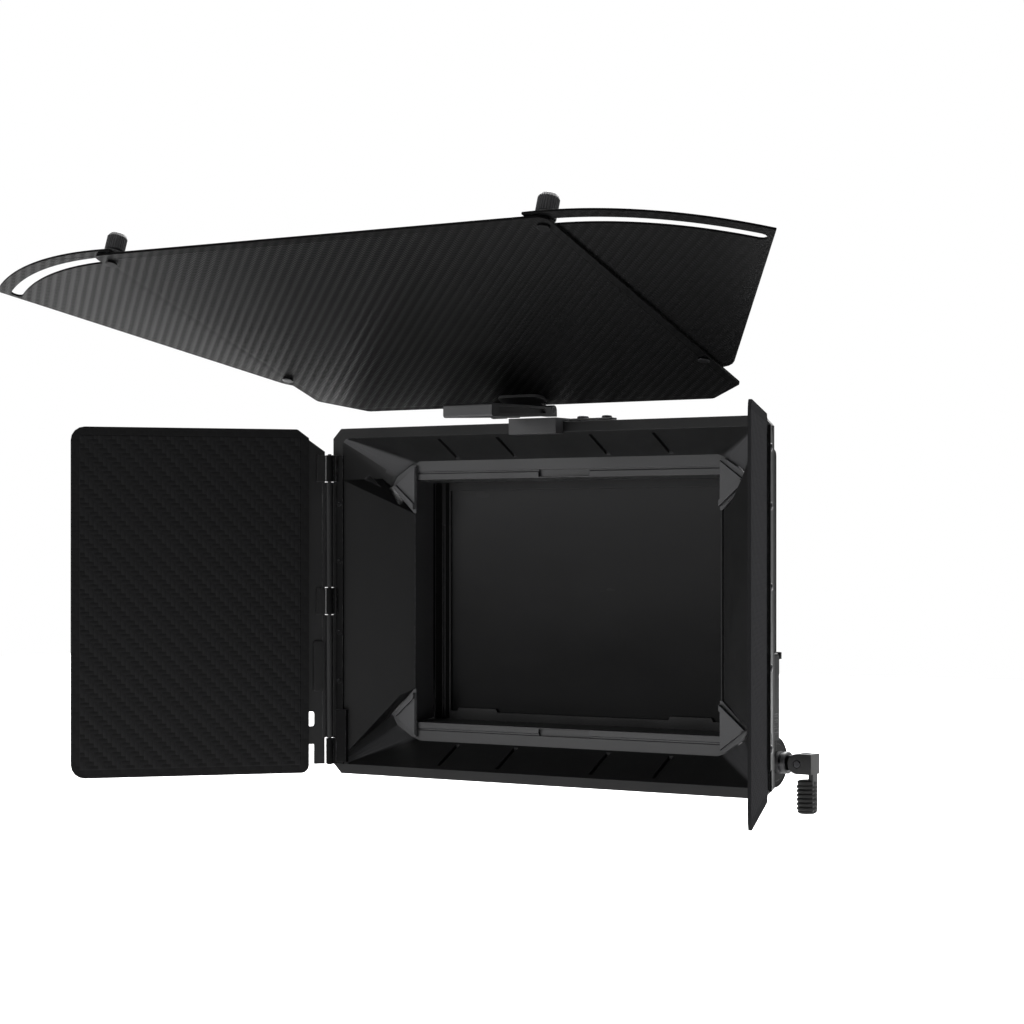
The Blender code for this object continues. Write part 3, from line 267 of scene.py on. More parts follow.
class Paint:
    """A material with one Principled shader and short calls for the nodes that feed it."""

    def __init__(self, name):
        self.material = bpy.data.materials.new(name)
        self.material.use_nodes = True
        self.tree = self.material.node_tree
        self.shader = self.tree.nodes["Principled BSDF"]

    def node(self, kind, **settings):
        node = self.tree.nodes.new("ShaderNode" + kind)
        for key, value in settings.items():
            setattr(node, key, value)
        return node

    def feed(self, socket, value):
        """Links an output to a socket, or sets a number or vector on it."""
        if isinstance(value, bpy.types.NodeSocket):
            self.tree.links.new(value, socket)
        else:
            socket.default_value = value

    def link(self, output, name):
        self.tree.links.new(output, self.shader.inputs[name])

    def position(self):
        return self.node("TexCoord").outputs["Object"]

    def normal(self):
        """The face's own normal, turned into the object's axes."""
        turn = self.node("VectorTransform", vector_type="NORMAL", convert_from="WORLD", convert_to="OBJECT")
        self.feed(turn.inputs[0], self.node("NewGeometry").outputs["Normal"])
        return turn.outputs[0]

    def placed(self, matrix):
        """Position in the frame that the matrix places, at rest."""
        inverse = matrix.inverted()
        turn = self.node("Mapping", vector_type="POINT")
        self.feed(turn.inputs["Vector"], self.position())
        turn.inputs["Location"].default_value = inverse.translation
        turn.inputs["Rotation"].default_value = inverse.to_euler()
        return turn.outputs[0]

    def math(self, operation, first, second=0.0, third=0.0):
        node = self.node("Math", operation=operation)
        for socket, value in zip(node.inputs, (first, second, third)):
            self.feed(socket, value)
        return node.outputs[0]

    def split(self, vector):
        node = self.node("SeparateXYZ")
        self.feed(node.inputs[0], vector)
        return node.outputs

    def dot(self, first, second):
        node = self.node("VectorMath", operation="DOT_PRODUCT")
        self.feed(node.inputs[0], first)
        self.feed(node.inputs[1], second)
        return node.outputs["Value"]

    def noise(self, vector, scale, detail=3.0, roughness=0.5):
        node = self.node("TexNoise")
        self.feed(node.inputs["Vector"], vector)
        node.inputs["Scale"].default_value = scale
        node.inputs["Detail"].default_value = detail
        node.inputs["Roughness"].default_value = roughness
        return node.outputs["Fac"]

    def range(self, value, low, high, to_low, to_high):
        node = self.node("MapRange")
        names = ("Value", "From Min", "From Max", "To Min", "To Max")
        for name, number in zip(names, (value, low, high, to_low, to_high)):
            self.feed(node.inputs[name], number)
        return node.outputs[0]

    def ramp(self, factor, first, second):
        """Blend of two colours."""
        node = self.node("Mix", data_type="RGBA")
        self.feed(node.inputs[0], factor)
        for socket, colour in ((node.inputs[6], first), (node.inputs[7], second)):
            self.feed(socket, (*colour, 1.0) if isinstance(colour, tuple) else colour)
        return node.outputs[2]

    def bump(self, height, strength, distance):
        node = self.node("Bump")
        node.inputs["Strength"].default_value = strength
        node.inputs["Distance"].default_value = distance
        self.feed(node.inputs["Height"], height)
        return node.outputs[0]

    def edges(self, radius):
        """1 on worn outer edges, 0 on flat stretches, broken up by noise."""
        rounded = self.node("Bevel", samples=4)
        rounded.inputs["Radius"].default_value = radius
        likeness = self.dot(rounded.outputs[0], self.node("NewGeometry").outputs["Normal"])
        worn = self.range(likeness, 0.99, 0.86, 0.0, 1.0)
        patches = self.range(self.noise(self.position(), 420.0, detail=4.0), 0.42, 0.62, 0.15, 1.0)
        return self.math("MULTIPLY", worn, patches)


def grey(level):
    """A neutral colour with the faintest blue in it."""
    return level, level, level * 1.05


def moulded_nylon(name, tone, gloss):
    """Black moulded plastic with a fine spark-eroded texture, and a painted highlight that makes the sloping
    corner faces paler.
    """
    paint = Paint(name)
    place = paint.position()
    cloud = paint.noise(place, 55.0, detail=4.0)
    grain = paint.noise(place, 2600.0, detail=2.0)
    body = paint.ramp(cloud, grey(tone * 0.8), grey(tone * 1.2))
    # Painted highlight: faces whose normal lies near the corner slope are made paler
    size = paint.node("VectorMath", operation="ABSOLUTE")
    paint.feed(size.inputs[0], paint.normal())
    corner_highlight = paint.range(paint.dot(size.outputs[0], CORNER_SLOPE), 0.93, 0.985, 0.0, 1.0)
    body = paint.ramp(corner_highlight, body, grey(CORNER_HIGHLIGHT_TONE))
    paint.link(paint.ramp(paint.edges(0.5 * MM), body, grey(NYLON_EDGE_TONE)), "Base Color")
    paint.link(paint.range(cloud, 0.3, 0.7, 0.46, 0.58), "Roughness")
    paint.shader.inputs["Specular IOR Level"].default_value = gloss
    paint.link(paint.bump(grain, 0.35, 0.05 * MM), "Normal")
    return paint.material


def anodised_aluminium(name, tone, gloss):
    """Bead-blasted aluminium, anodised black, rubbed brighter along its edges."""
    paint = Paint(name)
    place = paint.position()
    cloud = paint.noise(place, 40.0, detail=3.0)
    blast = paint.noise(place, 3400.0, detail=2.0)
    body = paint.ramp(cloud, grey(tone * 0.85), grey(tone * 1.15))
    paint.link(paint.ramp(paint.edges(0.35 * MM), body, (0.085, 0.085, 0.088)), "Base Color")
    paint.link(paint.range(cloud, 0.3, 0.7, 0.34, 0.46), "Roughness")
    paint.shader.inputs["Specular IOR Level"].default_value = gloss
    paint.link(paint.bump(blast, 0.28, 0.04 * MM), "Normal")
    return paint.material


def twill(paint, u, v):
    """Height of a 2 x 2 twill over the plane (u, v), and 1 where the tow that runs along v is on top."""
    column, row = paint.math("FLOOR", u), paint.math("FLOOR", v)
    across_u = paint.math("SUBTRACT", u, column)
    across_v = paint.math("SUBTRACT", v, row)
    warp_phase = paint.math("FLOORED_MODULO", paint.math("SUBTRACT", v, column), 4.0)
    weft_phase = paint.math("FLOORED_MODULO", paint.math("SUBTRACT", u, row), 4.0)
    on_top = paint.math("LESS_THAN", warp_phase, 2.0)
    warp = tow_height(paint, across_u, warp_phase, 0.0)
    weft = tow_height(paint, across_v, weft_phase, -1.0)
    high = paint.math("MULTIPLY", on_top, warp)
    low = paint.math("MULTIPLY", paint.math("SUBTRACT", 1.0, on_top), weft)
    return paint.math("ADD", high, low), on_top


def tow_height(paint, across, phase, shift):
    """A tow that is round across its width and bows over the two tows it crosses."""
    centred = paint.math("SUBTRACT", across, 0.5)
    crown = paint.math("MULTIPLY_ADD", paint.math("MULTIPLY", centred, centred), -3.2, 1.0)
    bow = paint.math("SINE", paint.math("MULTIPLY", paint.math("ADD", phase, shift), math.pi / 2.0))
    return paint.math("MULTIPLY", crown, paint.math("MULTIPLY_ADD", paint.math("ABSOLUTE", bow), 0.6, 0.4))


def carbon_sheet(name, matrix, extent, weave_look):
    """Satin twill carbon sheet with a plain border; extent is (low u, high u, low v, high v).

    The diagonals rise with u where way is 1, and fall where it is -1.
    """
    tone, gloss, way, tow, contrast = weave_look
    paint = Paint(name)
    u, v, _ = paint.split(paint.placed(matrix))
    height, on_top = twill(paint, paint.math("DIVIDE", u, way * tow), paint.math("DIVIDE", v, tow))
    facing = paint.math("ABSOLUTE", paint.dot(paint.normal(), tuple(matrix.col[2][:3])))
    flat = paint.math("GREATER_THAN", facing, 0.7)
    inside = border_mask(paint, u, v, extent)
    weave = paint.math("MULTIPLY", flat, paint.range(inside, 0.0, 1.0, 0.35, 1.0))
    fibres = paint.noise(paint.position(), 5200.0, detail=1.0)
    lit = paint.ramp(fibres, grey(tone * (1.0 + 0.3 * contrast)), grey(tone * (1.0 + contrast)))
    shaded = paint.ramp(fibres, grey(tone * (1.0 - 0.7 * contrast)), grey(tone * (1.0 - 0.2 * contrast)))
    cloth = paint.ramp(on_top, shaded, lit)
    paint.link(paint.ramp(weave, grey(tone * 0.8), cloth), "Base Color")
    paint.link(paint.range(on_top, 0.0, 1.0, 0.50, 0.38), "Roughness")
    paint.shader.inputs["Specular IOR Level"].default_value = gloss
    relief = paint.math("MULTIPLY", height, weave)
    step = paint.math("MULTIPLY", inside, 0.6)
    paint.link(paint.bump(paint.math("ADD", relief, step), 0.75, 0.16 * MM), "Normal")
    return paint.material


def border_mask(paint, u, v, extent):
    """1 inside the sheet's plain border, falling to 0 across a narrow step."""
    low_u, high_u, low_v, high_v = extent
    distances = (
        paint.math("SUBTRACT", u, low_u), paint.math("SUBTRACT", high_u, u),
        paint.math("SUBTRACT", v, low_v), paint.math("SUBTRACT", high_v, v),
    )
    near_u = paint.math("MINIMUM", *distances[:2])
    near_v = paint.math("MINIMUM", *distances[2:])
    nearest = paint.math("MINIMUM", near_u, near_v)
    return paint.range(nearest, BORDER - BORDER_STEP, BORDER, 0.0, 1.0)


def filter_glass():
    """Dark neutral filter glass with a painted reflection that makes it lighter towards its top, and a faint wiped
    haze.
    """
    paint = Paint("filter_glass")
    place = paint.position()
    height = paint.split(place)[2]
    stretch = paint.node("Mapping", vector_type="TEXTURE")
    paint.feed(stretch.inputs["Vector"], place)
    stretch.inputs["Scale"].default_value = (1.0, 1.0, 0.35)
    haze = paint.noise(stretch.outputs[0], 14.0, detail=5.0, roughness=0.55)
    low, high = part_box("tray_1_filter")
    # Painted reflection: the glass is coloured lighter towards its top, with the haze mixed in
    level = paint.range(height, low.z, high.z, 0.0, 1.0)
    reflection_and_haze = paint.math("MULTIPLY_ADD", haze, 0.10, paint.math("SUBTRACT", level, 0.05))
    paint.link(paint.ramp(reflection_and_haze, GLASS_REFLECTION_DARK, GLASS_REFLECTION_BRIGHT), "Base Color")
    paint.link(paint.range(haze, 0.3, 0.7, 0.20, 0.28), "Roughness")
    paint.shader.inputs["Specular IOR Level"].default_value = 0.06
    return paint.material


def black_steel():
    """Blackened steel with faint turning marks."""
    paint = Paint("black_steel")
    place = paint.position()
    marks = paint.noise(place, 900.0, detail=3.0)
    worn = paint.edges(0.2 * MM)
    paint.link(paint.ramp(worn, (0.035, 0.035, 0.037), (0.24, 0.24, 0.25)), "Base Color")
    paint.link(paint.range(marks, 0.3, 0.7, 0.26, 0.42), "Roughness")
    paint.shader.inputs["Metallic"].default_value = 1.0
    paint.link(paint.bump(marks, 0.2, 0.03 * MM), "Normal")
    return paint.material


def flock():
    """Black flocked strip that keeps light out of the stage."""
    paint = Paint("flock")
    place = paint.position()
    fibres = paint.noise(place, 4200.0, detail=2.0)
    nap = paint.noise(place, 90.0, detail=3.0)
    paint.link(paint.ramp(nap, grey(0.0012), grey(0.0026)), "Base Color")
    paint.link(paint.range(fibres, 0.3, 0.7, 0.85, 1.0), "Roughness")
    paint.shader.inputs["Specular IOR Level"].default_value = 0.05
    paint.link(paint.bump(fibres, 0.8, 0.1 * MM), "Normal")
    return paint.material


def grip_rubber():
    """Moulded rubber with a fine grain and a trace of dust."""
    paint = Paint("grip_rubber")
    place = paint.position()
    grain = paint.noise(place, 1800.0, detail=3.0)
    dust = paint.noise(place, 160.0, detail=4.0)
    paint.link(paint.ramp(dust, (0.0085, 0.0085, 0.0085), (0.016, 0.016, 0.0155)), "Base Color")
    paint.link(paint.range(dust, 0.3, 0.7, 0.62, 0.78), "Roughness")
    paint.shader.inputs["Specular IOR Level"].default_value = 0.3
    paint.link(paint.bump(grain, 0.4, 0.06 * MM), "Normal")
    return paint.material


# ---------------------------------------------------------------- CAD nodes: finish and softened edges

# Nodes that take the paler copy of the aluminium finish, which is painted light, and nodes that take the darker,
# duller copy, which is painted shade
PAINTED_LIGHTER_NODES = ("stage_front_frame", "flag_clamp_block", "flag_bracket_arm", "hood_top_pad", "flag_hinge_leaf")
PAINTED_DARKER_NODES = (
    "hinge_strip_left", "hinge_strip_right", "stage_side_left", "stage_side_right", "back_plate",
    "side_leaf_right", "wing_stud_left", "wing_stud_right",
)

# Width of the rounded edges in each material slot
SOFTENED = {
    "moulded_nylon": 0.18 * MM,
    "anodised_aluminium": 0.25 * MM,
    "carbon_sheet": 0.12 * MM,
    "filter_glass": 0.30 * MM,
    "black_steel": 0.12 * MM,
    "grip_rubber": 0.30 * MM,
}


def soften(obj, width):
    """Joins split points, rounds sharp edges and evens the shading; the CAD mesh itself stays as it is."""
    custom = obj.data.attributes.get("custom_normal")
    if custom is not None:
        obj.data.attributes.remove(custom)
    obj.data.shade_smooth()
    weld = obj.modifiers.new("weld", "WELD")
    weld.merge_threshold = 0.00001
    bevel = obj.modifiers.new("soft_edges", "BEVEL")
    bevel.width = width
    bevel.segments = 2
    bevel.limit_method = "ANGLE"
    bevel.angle_limit = math.radians(28.0)
    bevel.use_clamp_overlap = True
    shading = obj.modifiers.new("even_shading", "WEIGHTED_NORMAL")
    shading.keep_sharp = True


def panel_extent(node, matrix):
    """Lowest and highest u and v of a node in a flag's frame."""
    inverse = matrix.inverted()
    local = np.array([inverse @ Vector(point) for point in points_of(node)])
    return local[:, 0].min(), local[:, 0].max(), local[:, 1].min(), local[:, 1].max()


def carbon_materials():
    """One carbon material for each flag plane, because the weave follows the plane."""
    made = {}
    top = top_flag_frame()
    for node in ("top_flag_panel", "wing_left", "wing_right"):
        made[node] = carbon_sheet("carbon_" + node, top, panel_extent(node, top), TOP_WEAVE)
    for side, weave_look in SIDE_WEAVE.items():
        node = "side_flag_" + side
        place = side_flag_frame(side)
        made[node] = carbon_sheet("carbon_" + node, place, panel_extent(node, place), weave_look)
    return made


def finish_nodes(materials):
    """Gives every CAD node its material and softened edges."""
    carbon = carbon_materials()
    for part in frame["record"]["subparts"]:
        node, slot = part["node"], part["material_slot"]
        obj = nodes[node]
        obj.data.materials.clear()
        plain = materials[slot]
        # The gussets take the paler copy of the hood's nylon: painted light
        if node.startswith("hood_gusset"):
            plain = materials["nylon_painted_light"]
        # Paler aluminium copy: painted light; darker, duller copy: painted shade
        elif node in PAINTED_LIGHTER_NODES:
            plain = materials["aluminium_painted_light"]
        elif node in PAINTED_DARKER_NODES:
            plain = materials["aluminium_painted_shade"]
        obj.data.materials.append(carbon.get(node) or plain)
        soften(obj, SOFTENED[slot])


# ---------------------------------------------------------------- small solids


def hexagon_reach(half_flat, angle):
    """Distance from the centre of a hexagon to its edge, in the direction of the angle."""
    sixth = math.pi / 3.0
    return half_flat / math.cos((angle + sixth / 2.0) % sixth - sixth / 2.0)


def ring_points(radius, height, form, sides):
    """One cross-section: round, "hex", or with a straight knurl as deep as the number in form."""
    if radius == 0.0:
        return [(0.0, 0.0, height)]
    points = []
    for i in range(sides):
        angle = math.tau * i / sides
        reach = hexagon_reach(radius, angle) if form == "hex" else radius - form * (i % 2)
        points.append((reach * math.cos(angle), reach * math.sin(angle), height))
    return points


def turned(profile, sides=36, closed=False):
    """Solid about Z through (radius, height, form) sections; a closed one returns to its first section."""
    bm = bmesh.new()
    rings = [[bm.verts.new(point) for point in ring_points(*section, sides)] for section in profile]
    pairs = zip(rings, rings[1:] + rings[:1]) if closed else zip(rings, rings[1:])
    for lower, upper in pairs:
        for i in range(sides):
            near = lower if len(lower) == 1 else [lower[i - 1], lower[i]]
            far = upper if len(upper) == 1 else [upper[i], upper[i - 1]]
            bm.faces.new(near + far)
    return bm


def strip(rows):
    """Solid through equal cross-sections, each a list of points, with flat ends."""
    bm = bmesh.new()
    loops = [[bm.verts.new(point) for point in row] for row in rows]
    for first, second in zip(loops, loops[1:]):
        for i in range(len(first)):
            bm.faces.new((first[i - 1], first[i], second[i], second[i - 1]))
    bm.faces.new(loops[0])
    bm.faces.new(loops[-1])
    return bm


def pill(length, width, height):
    """Low bar with round ends, along X, its upper edge drawn in."""
    half, radius, end_steps = length / 2.0 - width / 2.0, width / 2.0, 6
    outline = []
    for centre, start in ((half, -90.0), (-half, 90.0)):
        for i in range(end_steps + 1):
            angle = math.radians(start + 180.0 * i / end_steps)
            outline.append((centre, math.cos(angle), math.sin(angle)))
    rows = []
    for level, inset in ((0.0, 0.0), (height * 0.6, 0.0), (height, radius * 0.35)):
        rows.append([(x + (radius - inset) * c, (radius - inset) * s, level) for x, c, s in outline])
    return strip(rows)


def joined(solids):
    """One bmesh out of several placed ones."""
    whole = bmesh.new()
    for bm, matrix in solids:
        bm.transform(matrix)
        mesh = bpy.data.meshes.new("part_of_piece")
        bm.to_mesh(mesh)
        bm.free()
        whole.from_mesh(mesh)
        bpy.data.meshes.remove(mesh)
    return whole


def add_piece(name, bm, material, body, edge, matrix=None):
    """Makes one detail piece, which moves with the body and takes the given material."""
    if matrix is not None:
        bm.transform(matrix)
    bmesh.ops.recalc_face_normals(bm, faces=bm.faces)
    mesh = bpy.data.meshes.new(name)
    bm.to_mesh(mesh)
    bm.free()
    mesh.materials.append(material)
    piece = bpy.data.objects.new(name, mesh)
    bpy.context.scene.collection.objects.link(piece)
    soften(piece, edge)
    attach(piece, body)
    slot = material.name.split(".")[0]
    return piece


def facing(origin, normal, along=None):
    """Frame at the origin with z along the normal, and x as near as it can be to `along`."""
    z_axis = Vector(normal).normalized()
    x_axis = Vector(along) if along is not None else Vector((1.0, 0.0, 0.0))
    if abs(x_axis.normalized().dot(z_axis)) > 0.99:
        x_axis = Vector((0.0, 0.0, 1.0))
    x_axis = (x_axis - z_axis * x_axis.dot(z_axis)).normalized()
    return frame_matrix(Vector(origin), x_axis, z_axis.cross(x_axis))


def reach_along(node, origin, axis):
    """Lowest and highest point of a node along an axis, and its points measured from the origin."""
    offsets = points_of(node) - np.array(origin)
    heights = offsets @ np.array(axis)
    return heights.min(), heights.max(), offsets


def socket_screw(radius, height):
    """Button head with a hexagon socket; z = 0 is the face that it sits on."""
    flat = radius * 0.5
    return turned([
        (0.0, 0.0, 0.0), (radius, 0.0, 0.0), (radius, height * 0.45, 0.0), (radius * 0.9, height * 0.8, 0.0),
        (radius * 0.72, height, 0.0), (flat * 1.12, height, 0.0), (flat, height * 0.9, "hex"),
        (flat, height * 0.3, "hex"), (0.0, height * 0.25, 0.0),
    ])


# ---------------------------------------------------------------- detail pieces

KNOB_HEAD_R = 4.1 * MM
TAIL_HALF_W = 2.2 * MM
TAIL_T = 1.4 * MM


def wing_knob(side, material):
    """Knurled thumb knob with a tail."""
    node = "wing_knob_" + side
    origin = hinge_at(node + "_turn")
    axis = Vector(joints[node + "_turn"]["axis"]).normalized()
    low, high, offsets = reach_along(node, origin, axis)
    radial = offsets - np.outer(offsets @ np.array(axis), np.array(axis))
    distances = np.linalg.norm(radial, axis=1)
    far = radial[distances > distances.max() - 0.4 * MM].mean(0)
    place = facing(origin, axis, far)
    r, tooth = KNOB_HEAD_R, 0.28 * MM
    head = turned([
        (0.0, low, 0.0), (r - 0.5 * MM, low, 0.0), (r - 0.1 * MM, low + 0.3 * MM, 0.0),
        (r - 0.1 * MM, low + 1.7 * MM, 0.0), (r - 0.55 * MM, low + 1.9 * MM, 0.0),
        (r - 0.55 * MM, low + 2.3 * MM, 0.0), (r, low + 2.6 * MM, tooth), (r, high - 2.2 * MM, tooth),
        (r - 0.45 * MM, high - 1.6 * MM, 0.0), (r - 0.8 * MM, high - 0.9 * MM, 0.0),
        (r - 2.2 * MM, high, 0.0), (r - 2.6 * MM, high, 0.0), (r - 2.9 * MM, high - 0.5 * MM, 0.0), (0.0, high - 0.6 * MM, 0.0),
    ], sides=56)
    tail_length = distances.max() - r + 1.2 * MM
    tail = pill(tail_length + TAIL_HALF_W, 2.0 * TAIL_HALF_W, TAIL_T)
    shift = Matrix.Translation((distances.max() - (tail_length + TAIL_HALF_W) / 2.0, 0.0, low))
    solids = [(head, Matrix.Identity(4)), (tail, shift)]
    piece = add_piece("knurled_knob_" + side, joined(solids), material, node, 0.1 * MM, place)
    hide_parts(node)


def back_plate_screws(material):
    """Socket heads in the four corners of the rear plate."""
    for number in (1, 2, 3, 4):
        node = "back_plate_screw_{}".format(number)
        low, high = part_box(node)
        centre = (low + high) / 2.0
        radius = (high.x - low.x) / 2.0
        place = facing((centre.x, low.y, centre.z), (0.0, 1.0, 0.0))
        screw = socket_screw(radius, high.y - low.y)
        piece = add_piece("socket_head_{}".format(number), screw, material, "root", 0.08 * MM, place)
        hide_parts(node)


def clamp_wheel(material):
    """Knurled wheel with chamfered rims and a groove round its middle."""
    node = "clamp_wheel"
    low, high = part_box(node)
    centre = hinge_at("clamp_spindle_turn")
    radius = (high.z - low.z) / 2.0
    bore = 3.3 * MM
    wide = high.x - low.x
    tooth = 0.5 * MM
    sections = [
        (bore, 0.0, 0.0), (radius - 3.4 * MM, 0.0, 0.0), (radius - 3.0 * MM, 0.5 * MM, 0.0),
        (radius - 1.4 * MM, 0.5 * MM, 0.0), (radius - 0.9 * MM, 0.2 * MM, 0.0), (radius, 0.9 * MM, tooth),
        (radius, wide * 0.42, tooth), (radius - 0.8 * MM, wide * 0.46, 0.0),
        (radius - 0.8 * MM, wide * 0.54, 0.0), (radius, wide * 0.58, tooth),
        (radius, wide - 0.9 * MM, tooth), (radius - 0.9 * MM, wide - 0.2 * MM, 0.0),
        (radius - 1.4 * MM, wide - 0.5 * MM, 0.0), (radius - 3.0 * MM, wide - 0.5 * MM, 0.0),
        (radius - 3.4 * MM, wide, 0.0), (bore, wide, 0.0),
    ]
    place = facing((low.x, centre.y, centre.z), (1.0, 0.0, 0.0), (0.0, 0.0, 1.0))
    wheel = turned(sections, 84, closed=True)
    piece = add_piece("knurled_wheel", wheel, material, "clamp_spindle", 0.08 * MM, place)
    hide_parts(node)


def spindle_collar(material):
    """Two bright bands round the spindle's dark collar."""
    centre = hinge_at("clamp_spindle_turn")
    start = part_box("clamp_wheel")[1].x + 0.3 * MM
    bands = []
    for low, high in ((0.2, 2.0), (3.2, 5.2)):
        inner, outer = 4.3 * MM, 4.8 * MM
        low, high = low * MM, high * MM
        sections = [
            (inner, low, 0.0), (outer, low + 0.15 * MM, 0.0),
            (outer, high - 0.15 * MM, 0.0), (inner, high, 0.0),
        ]
        bands.append((turned(sections, 36, closed=True), Matrix.Identity(4)))
    place = facing((start, centre.y, centre.z), (1.0, 0.0, 0.0), (0.0, 0.0, 1.0))
    add_piece("collar_bands", joined(bands), material, "clamp_spindle", 0.06 * MM, place)


def lever_grip(material):
    """Rubber barrel with ribs round it."""
    low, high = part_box("lever_grip")
    centre = (low + high) / 2.0
    radius = (high.y - low.y) / 2.0
    tall = high.z - low.z
    sections = [(0.0, 0.0, 0.0), (radius - 1.4 * MM, 0.0, 0.0), (radius - 0.3 * MM, 0.7 * MM, 0.0)]
    ribs = 6
    pitch = (tall - 3.4 * MM) / ribs
    for rib in range(ribs):
        base = 1.5 * MM + rib * pitch
        sections += [(radius - 0.55 * MM, base, 0.0), (radius, base + pitch * 0.25, 0.0),
                     (radius, base + pitch * 0.65, 0.0), (radius - 0.55 * MM, base + pitch * 0.9, 0.0)]
    sections += [(radius - 0.3 * MM, tall - 1.4 * MM, 0.0), (radius - 0.3 * MM, tall - 0.6 * MM, 0.0),
                 (radius - 1.2 * MM, tall, 0.0), (0.0, tall, 0.0)]
    place = facing((low.x + radius, centre.y, low.z), (0.0, 0.0, 1.0))
    piece = add_piece("ribbed_grip", turned(sections, 32), material, "clamp_lever", 0.1 * MM, place)
    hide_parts("lever_grip")


def tab_ribs(number, material):
    """Finger ribs across the front of a tray's tab."""
    low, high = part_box("tray_{}_frame".format(number))
    upright = Matrix.Rotation(math.radians(90.0), 4, "X")
    ribs = []
    for rise in TAB_RIB_RISES:
        at = Matrix.Translation((0.0, low.y, high.z - rise * MM)) @ upright
        ribs.append((pill(24.0 * MM, 1.2 * MM, 0.45 * MM), at))
    add_piece("tray_{}_tab_ribs".format(number), joined(ribs), material, "tray_{}".format(number), 0.05 * MM)


def tray_seals(number, material):
    """Flocked strips down both edges of a tray's front face, on either side of its groove."""
    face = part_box("tray_{}_frame".format(number))[0].y
    upright = Matrix.Rotation(math.radians(90.0), 4, "X") @ Matrix.Rotation(math.radians(90.0), 4, "Z")
    strips = []
    for way in (-1.0, 1.0):
        for inner, outer in TRAY_SEAL_EDGES:
            middle_x = way * (inner + outer) / 2.0 * MM
            at = Matrix.Translation((middle_x, face, TRAY_SEAL_Z)) @ upright
            strips.append((pill(TRAY_SEAL_LENGTH, (outer - inner) * MM, 0.25 * MM), at))
    add_piece("tray_{}_seals".format(number), joined(strips), material, "tray_{}".format(number), 0.03 * MM)


def catch_ribs(material):
    """Thumb ribs near the foot of the tray catch."""
    low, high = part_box("tray_catch")
    centre = (low + high) / 2.0
    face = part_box("stage_side_right")[1].x
    outer = max(point[0] for point in points_of("tray_catch") if point[2] < centre.z)
    ribs = []
    for rise in CATCH_RIB_RISES:
        place = facing((max(outer, face), centre.y, low.z + rise * MM), (1.0, 0.0, 0.0), (0.0, 1.0, 0.0))
        ribs.append((pill((high.y - low.y) * 0.78, 1.2 * MM, 0.5 * MM), place))
    add_piece("catch_ribs", joined(ribs), material, "tray_catch", 0.05 * MM)


def tray_springs(number, material):
    """Thin leaf springs that bow twice between the tray and the filter."""
    for side in ("left", "right"):
        node = "tray_{}_spring_{}".format(number, side)
        low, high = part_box(node)
        rows = []
        for i in range(SPRING_STEPS + 1):
            share = i / SPRING_STEPS
            lift = (high.y - low.y - SPRING_T) * (0.5 - 0.5 * math.cos(share * 4.0 * math.pi))
            z = low.z + (high.z - low.z) * share
            y = low.y + lift
            rows.append([(low.x, y, z), (high.x, y, z), (high.x, y + SPRING_T, z), (low.x, y + SPRING_T, z)])
        piece = add_piece("bowed_" + node, strip(rows), material, "tray_{}".format(number), 0.05 * MM)
        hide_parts(node)


def strip_screws(side, material):
    """Small socket screws that hold a hinge strip to the hood's rim."""
    way = -1.0 if side == "left" else 1.0
    low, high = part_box("hood_shell")
    x = way * (high.x - STRIP_SCREW_INSET)
    face = low.y - STRIP_FACE
    screws = []
    for z in STRIP_SCREW_HEIGHTS:
        screws.append((socket_screw(1.35 * MM, 0.35 * MM), facing((x, face, z * MM), (0.0, -1.0, 0.0))))
    add_piece("strip_screws_" + side, joined(screws), material, "root", 0.03 * MM)


def hinge_seals(side, material):
    """Light seals under a side flag's hinge leaf, beside the hinge strip's upper two knuckles."""
    place = side_flag_frame(side)
    inverse = place.inverted()
    leaf = inverse @ Vector(points_of("side_leaf_" + side).mean(0))
    way = 1.0 if leaf.z > 0.0 else -1.0
    seals = []
    for low, high in SEALED_KNUCKLES:
        back, front = way * SEAL_BACK, way * SEAL_FRONT
        section = ((SEAL_NEAR, back), (SEAL_FAR, back), (SEAL_FAR, front), (SEAL_NEAR, front))
        bar = strip([[(x, height * MM, z) for x, z in section] for height in (low, high)])
        seals.append((bar, place))
    add_piece("hinge_seals_" + side, joined(seals), material, "side_flag_" + side, 0.05 * MM)


def leaf_rivets(side, material):
    """Rivet heads along a side flag's hinge leaf, on the leaf's open face."""
    place = side_flag_frame(side)
    _, high_u, low_v, high_v = panel_extent("side_leaf_" + side, place)
    inverse = place.inverted()
    depths = [(inverse @ Vector(point)).z for point in points_of("side_leaf_" + side)]
    flag = np.mean([(inverse @ Vector(point)).z for point in points_of("side_flag_" + side)])
    outside = max(depths, key=lambda depth: abs(depth - flag))
    near = [depth for depth in depths if abs(depth - flag) < 2.4 * MM]
    outside = max(near) if outside > flag else min(near)
    way = 1.0 if outside > flag else -1.0
    rivets = []
    for share in RIVET_SHARES:
        at = place @ Vector((high_u - RIVET_INSET, low_v + (high_v - low_v) * share, outside))
        normal = place.to_3x3() @ Vector((0.0, 0.0, way))
        dome = [(0.0, 0.0, 0.0), (1.7 * MM, 0.0, 0.0), (1.5 * MM, 0.35 * MM, 0.0), (0.9 * MM, 0.6 * MM, 0.0),
                (0.0, 0.7 * MM, 0.0)]
        rivets.append((turned(dome, 20), facing(at, normal)))
    add_piece("leaf_rivets_" + side, joined(rivets), material, "side_flag_" + side, 0.03 * MM)


def pad_screws(material):
    """Two low screws in the plate on top of the hood's rim."""
    low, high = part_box("hood_top_pad")
    wide, deep = high.x - low.x, (low.y + high.y) / 2.0
    screws = []
    for share, radius in PAD_SCREWS:
        at = (low.x + wide * share, deep, high.z - 0.02 * MM)
        screws.append((socket_screw(radius * MM, 1.2 * MM), facing(at, (0.0, 0.0, 1.0))))
    add_piece("pad_screws", joined(screws), material, "root", 0.05 * MM)


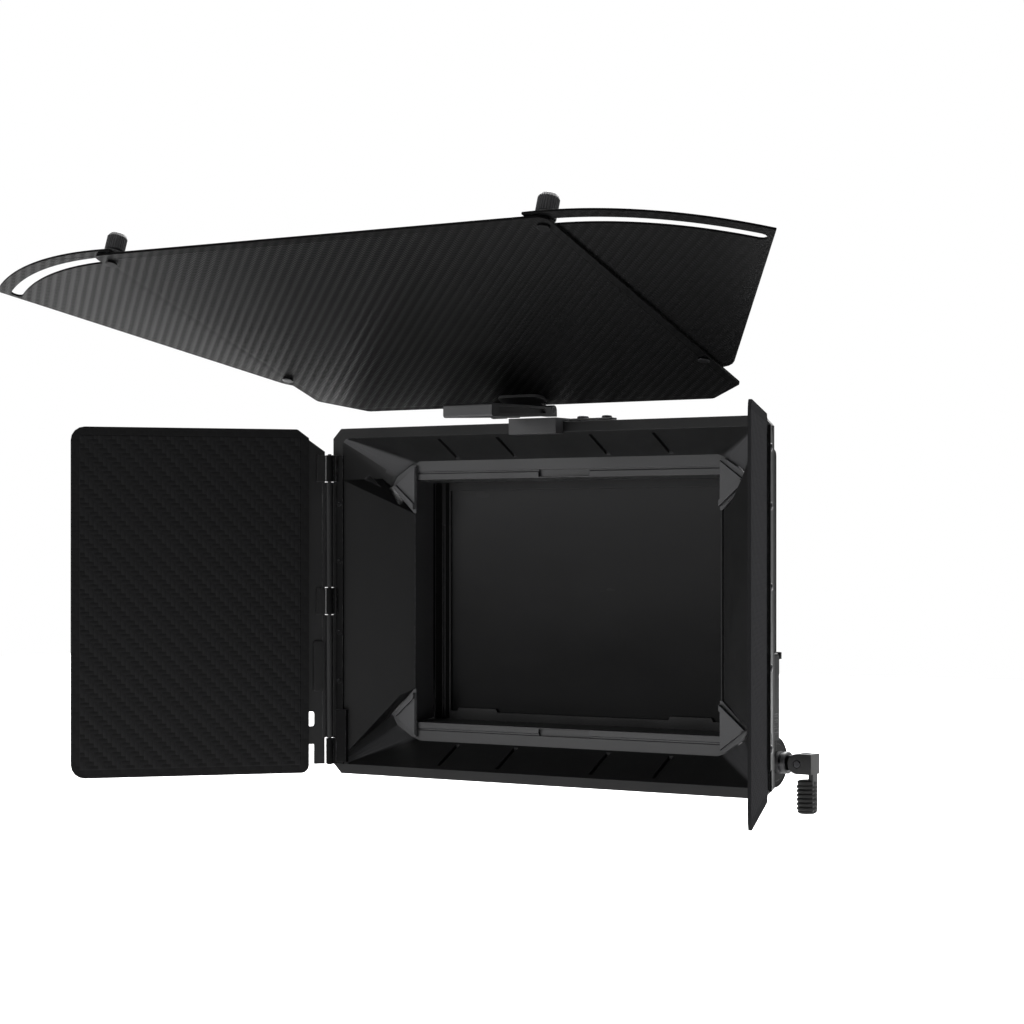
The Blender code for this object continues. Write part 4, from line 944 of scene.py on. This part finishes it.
def pivot_caps(side, material):
    """Hexagon-socket cap on the pivot screw of a wing."""
    axis = Vector(joints["wing_left_fold"]["axis"]).normalized()
    origin = hinge_at("wing_{}_fold".format(side))
    _, top, _ = reach_along("wing_pivot_screw_" + side, origin, axis)
    cap = socket_screw(3.1 * MM, 0.9 * MM)
    place = facing(origin + axis * (top - 0.05 * MM), axis)
    add_piece("pivot_cap_" + side, cap, material, "top_flag", 0.05 * MM, place)


def panel_screws(material):
    """Two low screws that hold the top flag to its hinge leaf."""
    place = top_flag_frame()
    inverse = place.inverted()
    outer = min((inverse @ Vector(point)).z for point in points_of("top_flag_panel"))
    normal = place.to_3x3() @ Vector((0.0, 0.0, -1.0))
    screws = []
    for x in PANEL_SCREW_X:
        at = place @ Vector((x * MM, PANEL_SCREW_Y, outer + 0.02 * MM))
        screws.append((socket_screw(1.9 * MM, 0.9 * MM), facing(at, normal)))
    add_piece("panel_screws", joined(screws), material, "top_flag", 0.04 * MM)


def add_details(materials):
    # The paler aluminium copy is painted light, and the darker one is painted shade
    painted_light_metal, painted_shade_metal = materials["aluminium_painted_light"], materials["aluminium_painted_shade"]
    steel, nylon = materials["black_steel"], materials["moulded_nylon"]
    back_plate_screws(steel)
    clamp_wheel(painted_shade_metal)
    spindle_collar(painted_light_metal)
    lever_grip(materials["grip_rubber"])
    catch_ribs(nylon)
    pad_screws(steel)
    panel_screws(steel)
    for number in (1, 2):
        tab_ribs(number, nylon)
        tray_seals(number, materials["flock"])
        tray_springs(number, steel)
    for side in ("left", "right"):
        wing_knob(side, painted_light_metal)
        strip_screws(side, painted_shade_metal)
        hinge_seals(side, nylon)
        leaf_rivets(side, steel)
        pivot_caps(side, steel)


# ---------------------------------------------------------------- assembly


def main():
    make_camera()
    make_world()
    make_lights()
    make_floor()
    bpy.context.scene.view_settings.view_transform = "Standard"
    # The carbon slot stays empty here, because each sheet gets its own material
    materials = {"carbon_sheet": None}
    materials.update({name: moulded_nylon(name, *look) for name, look in NYLON.items()})
    materials.update({name: anodised_aluminium(name, *look) for name, look in ALUMINIUM.items()})
    materials.update({make.__name__: make() for make in (flock, filter_glass, black_steel, grip_rubber)})
    finish_nodes(materials)
    add_details(materials)


main()
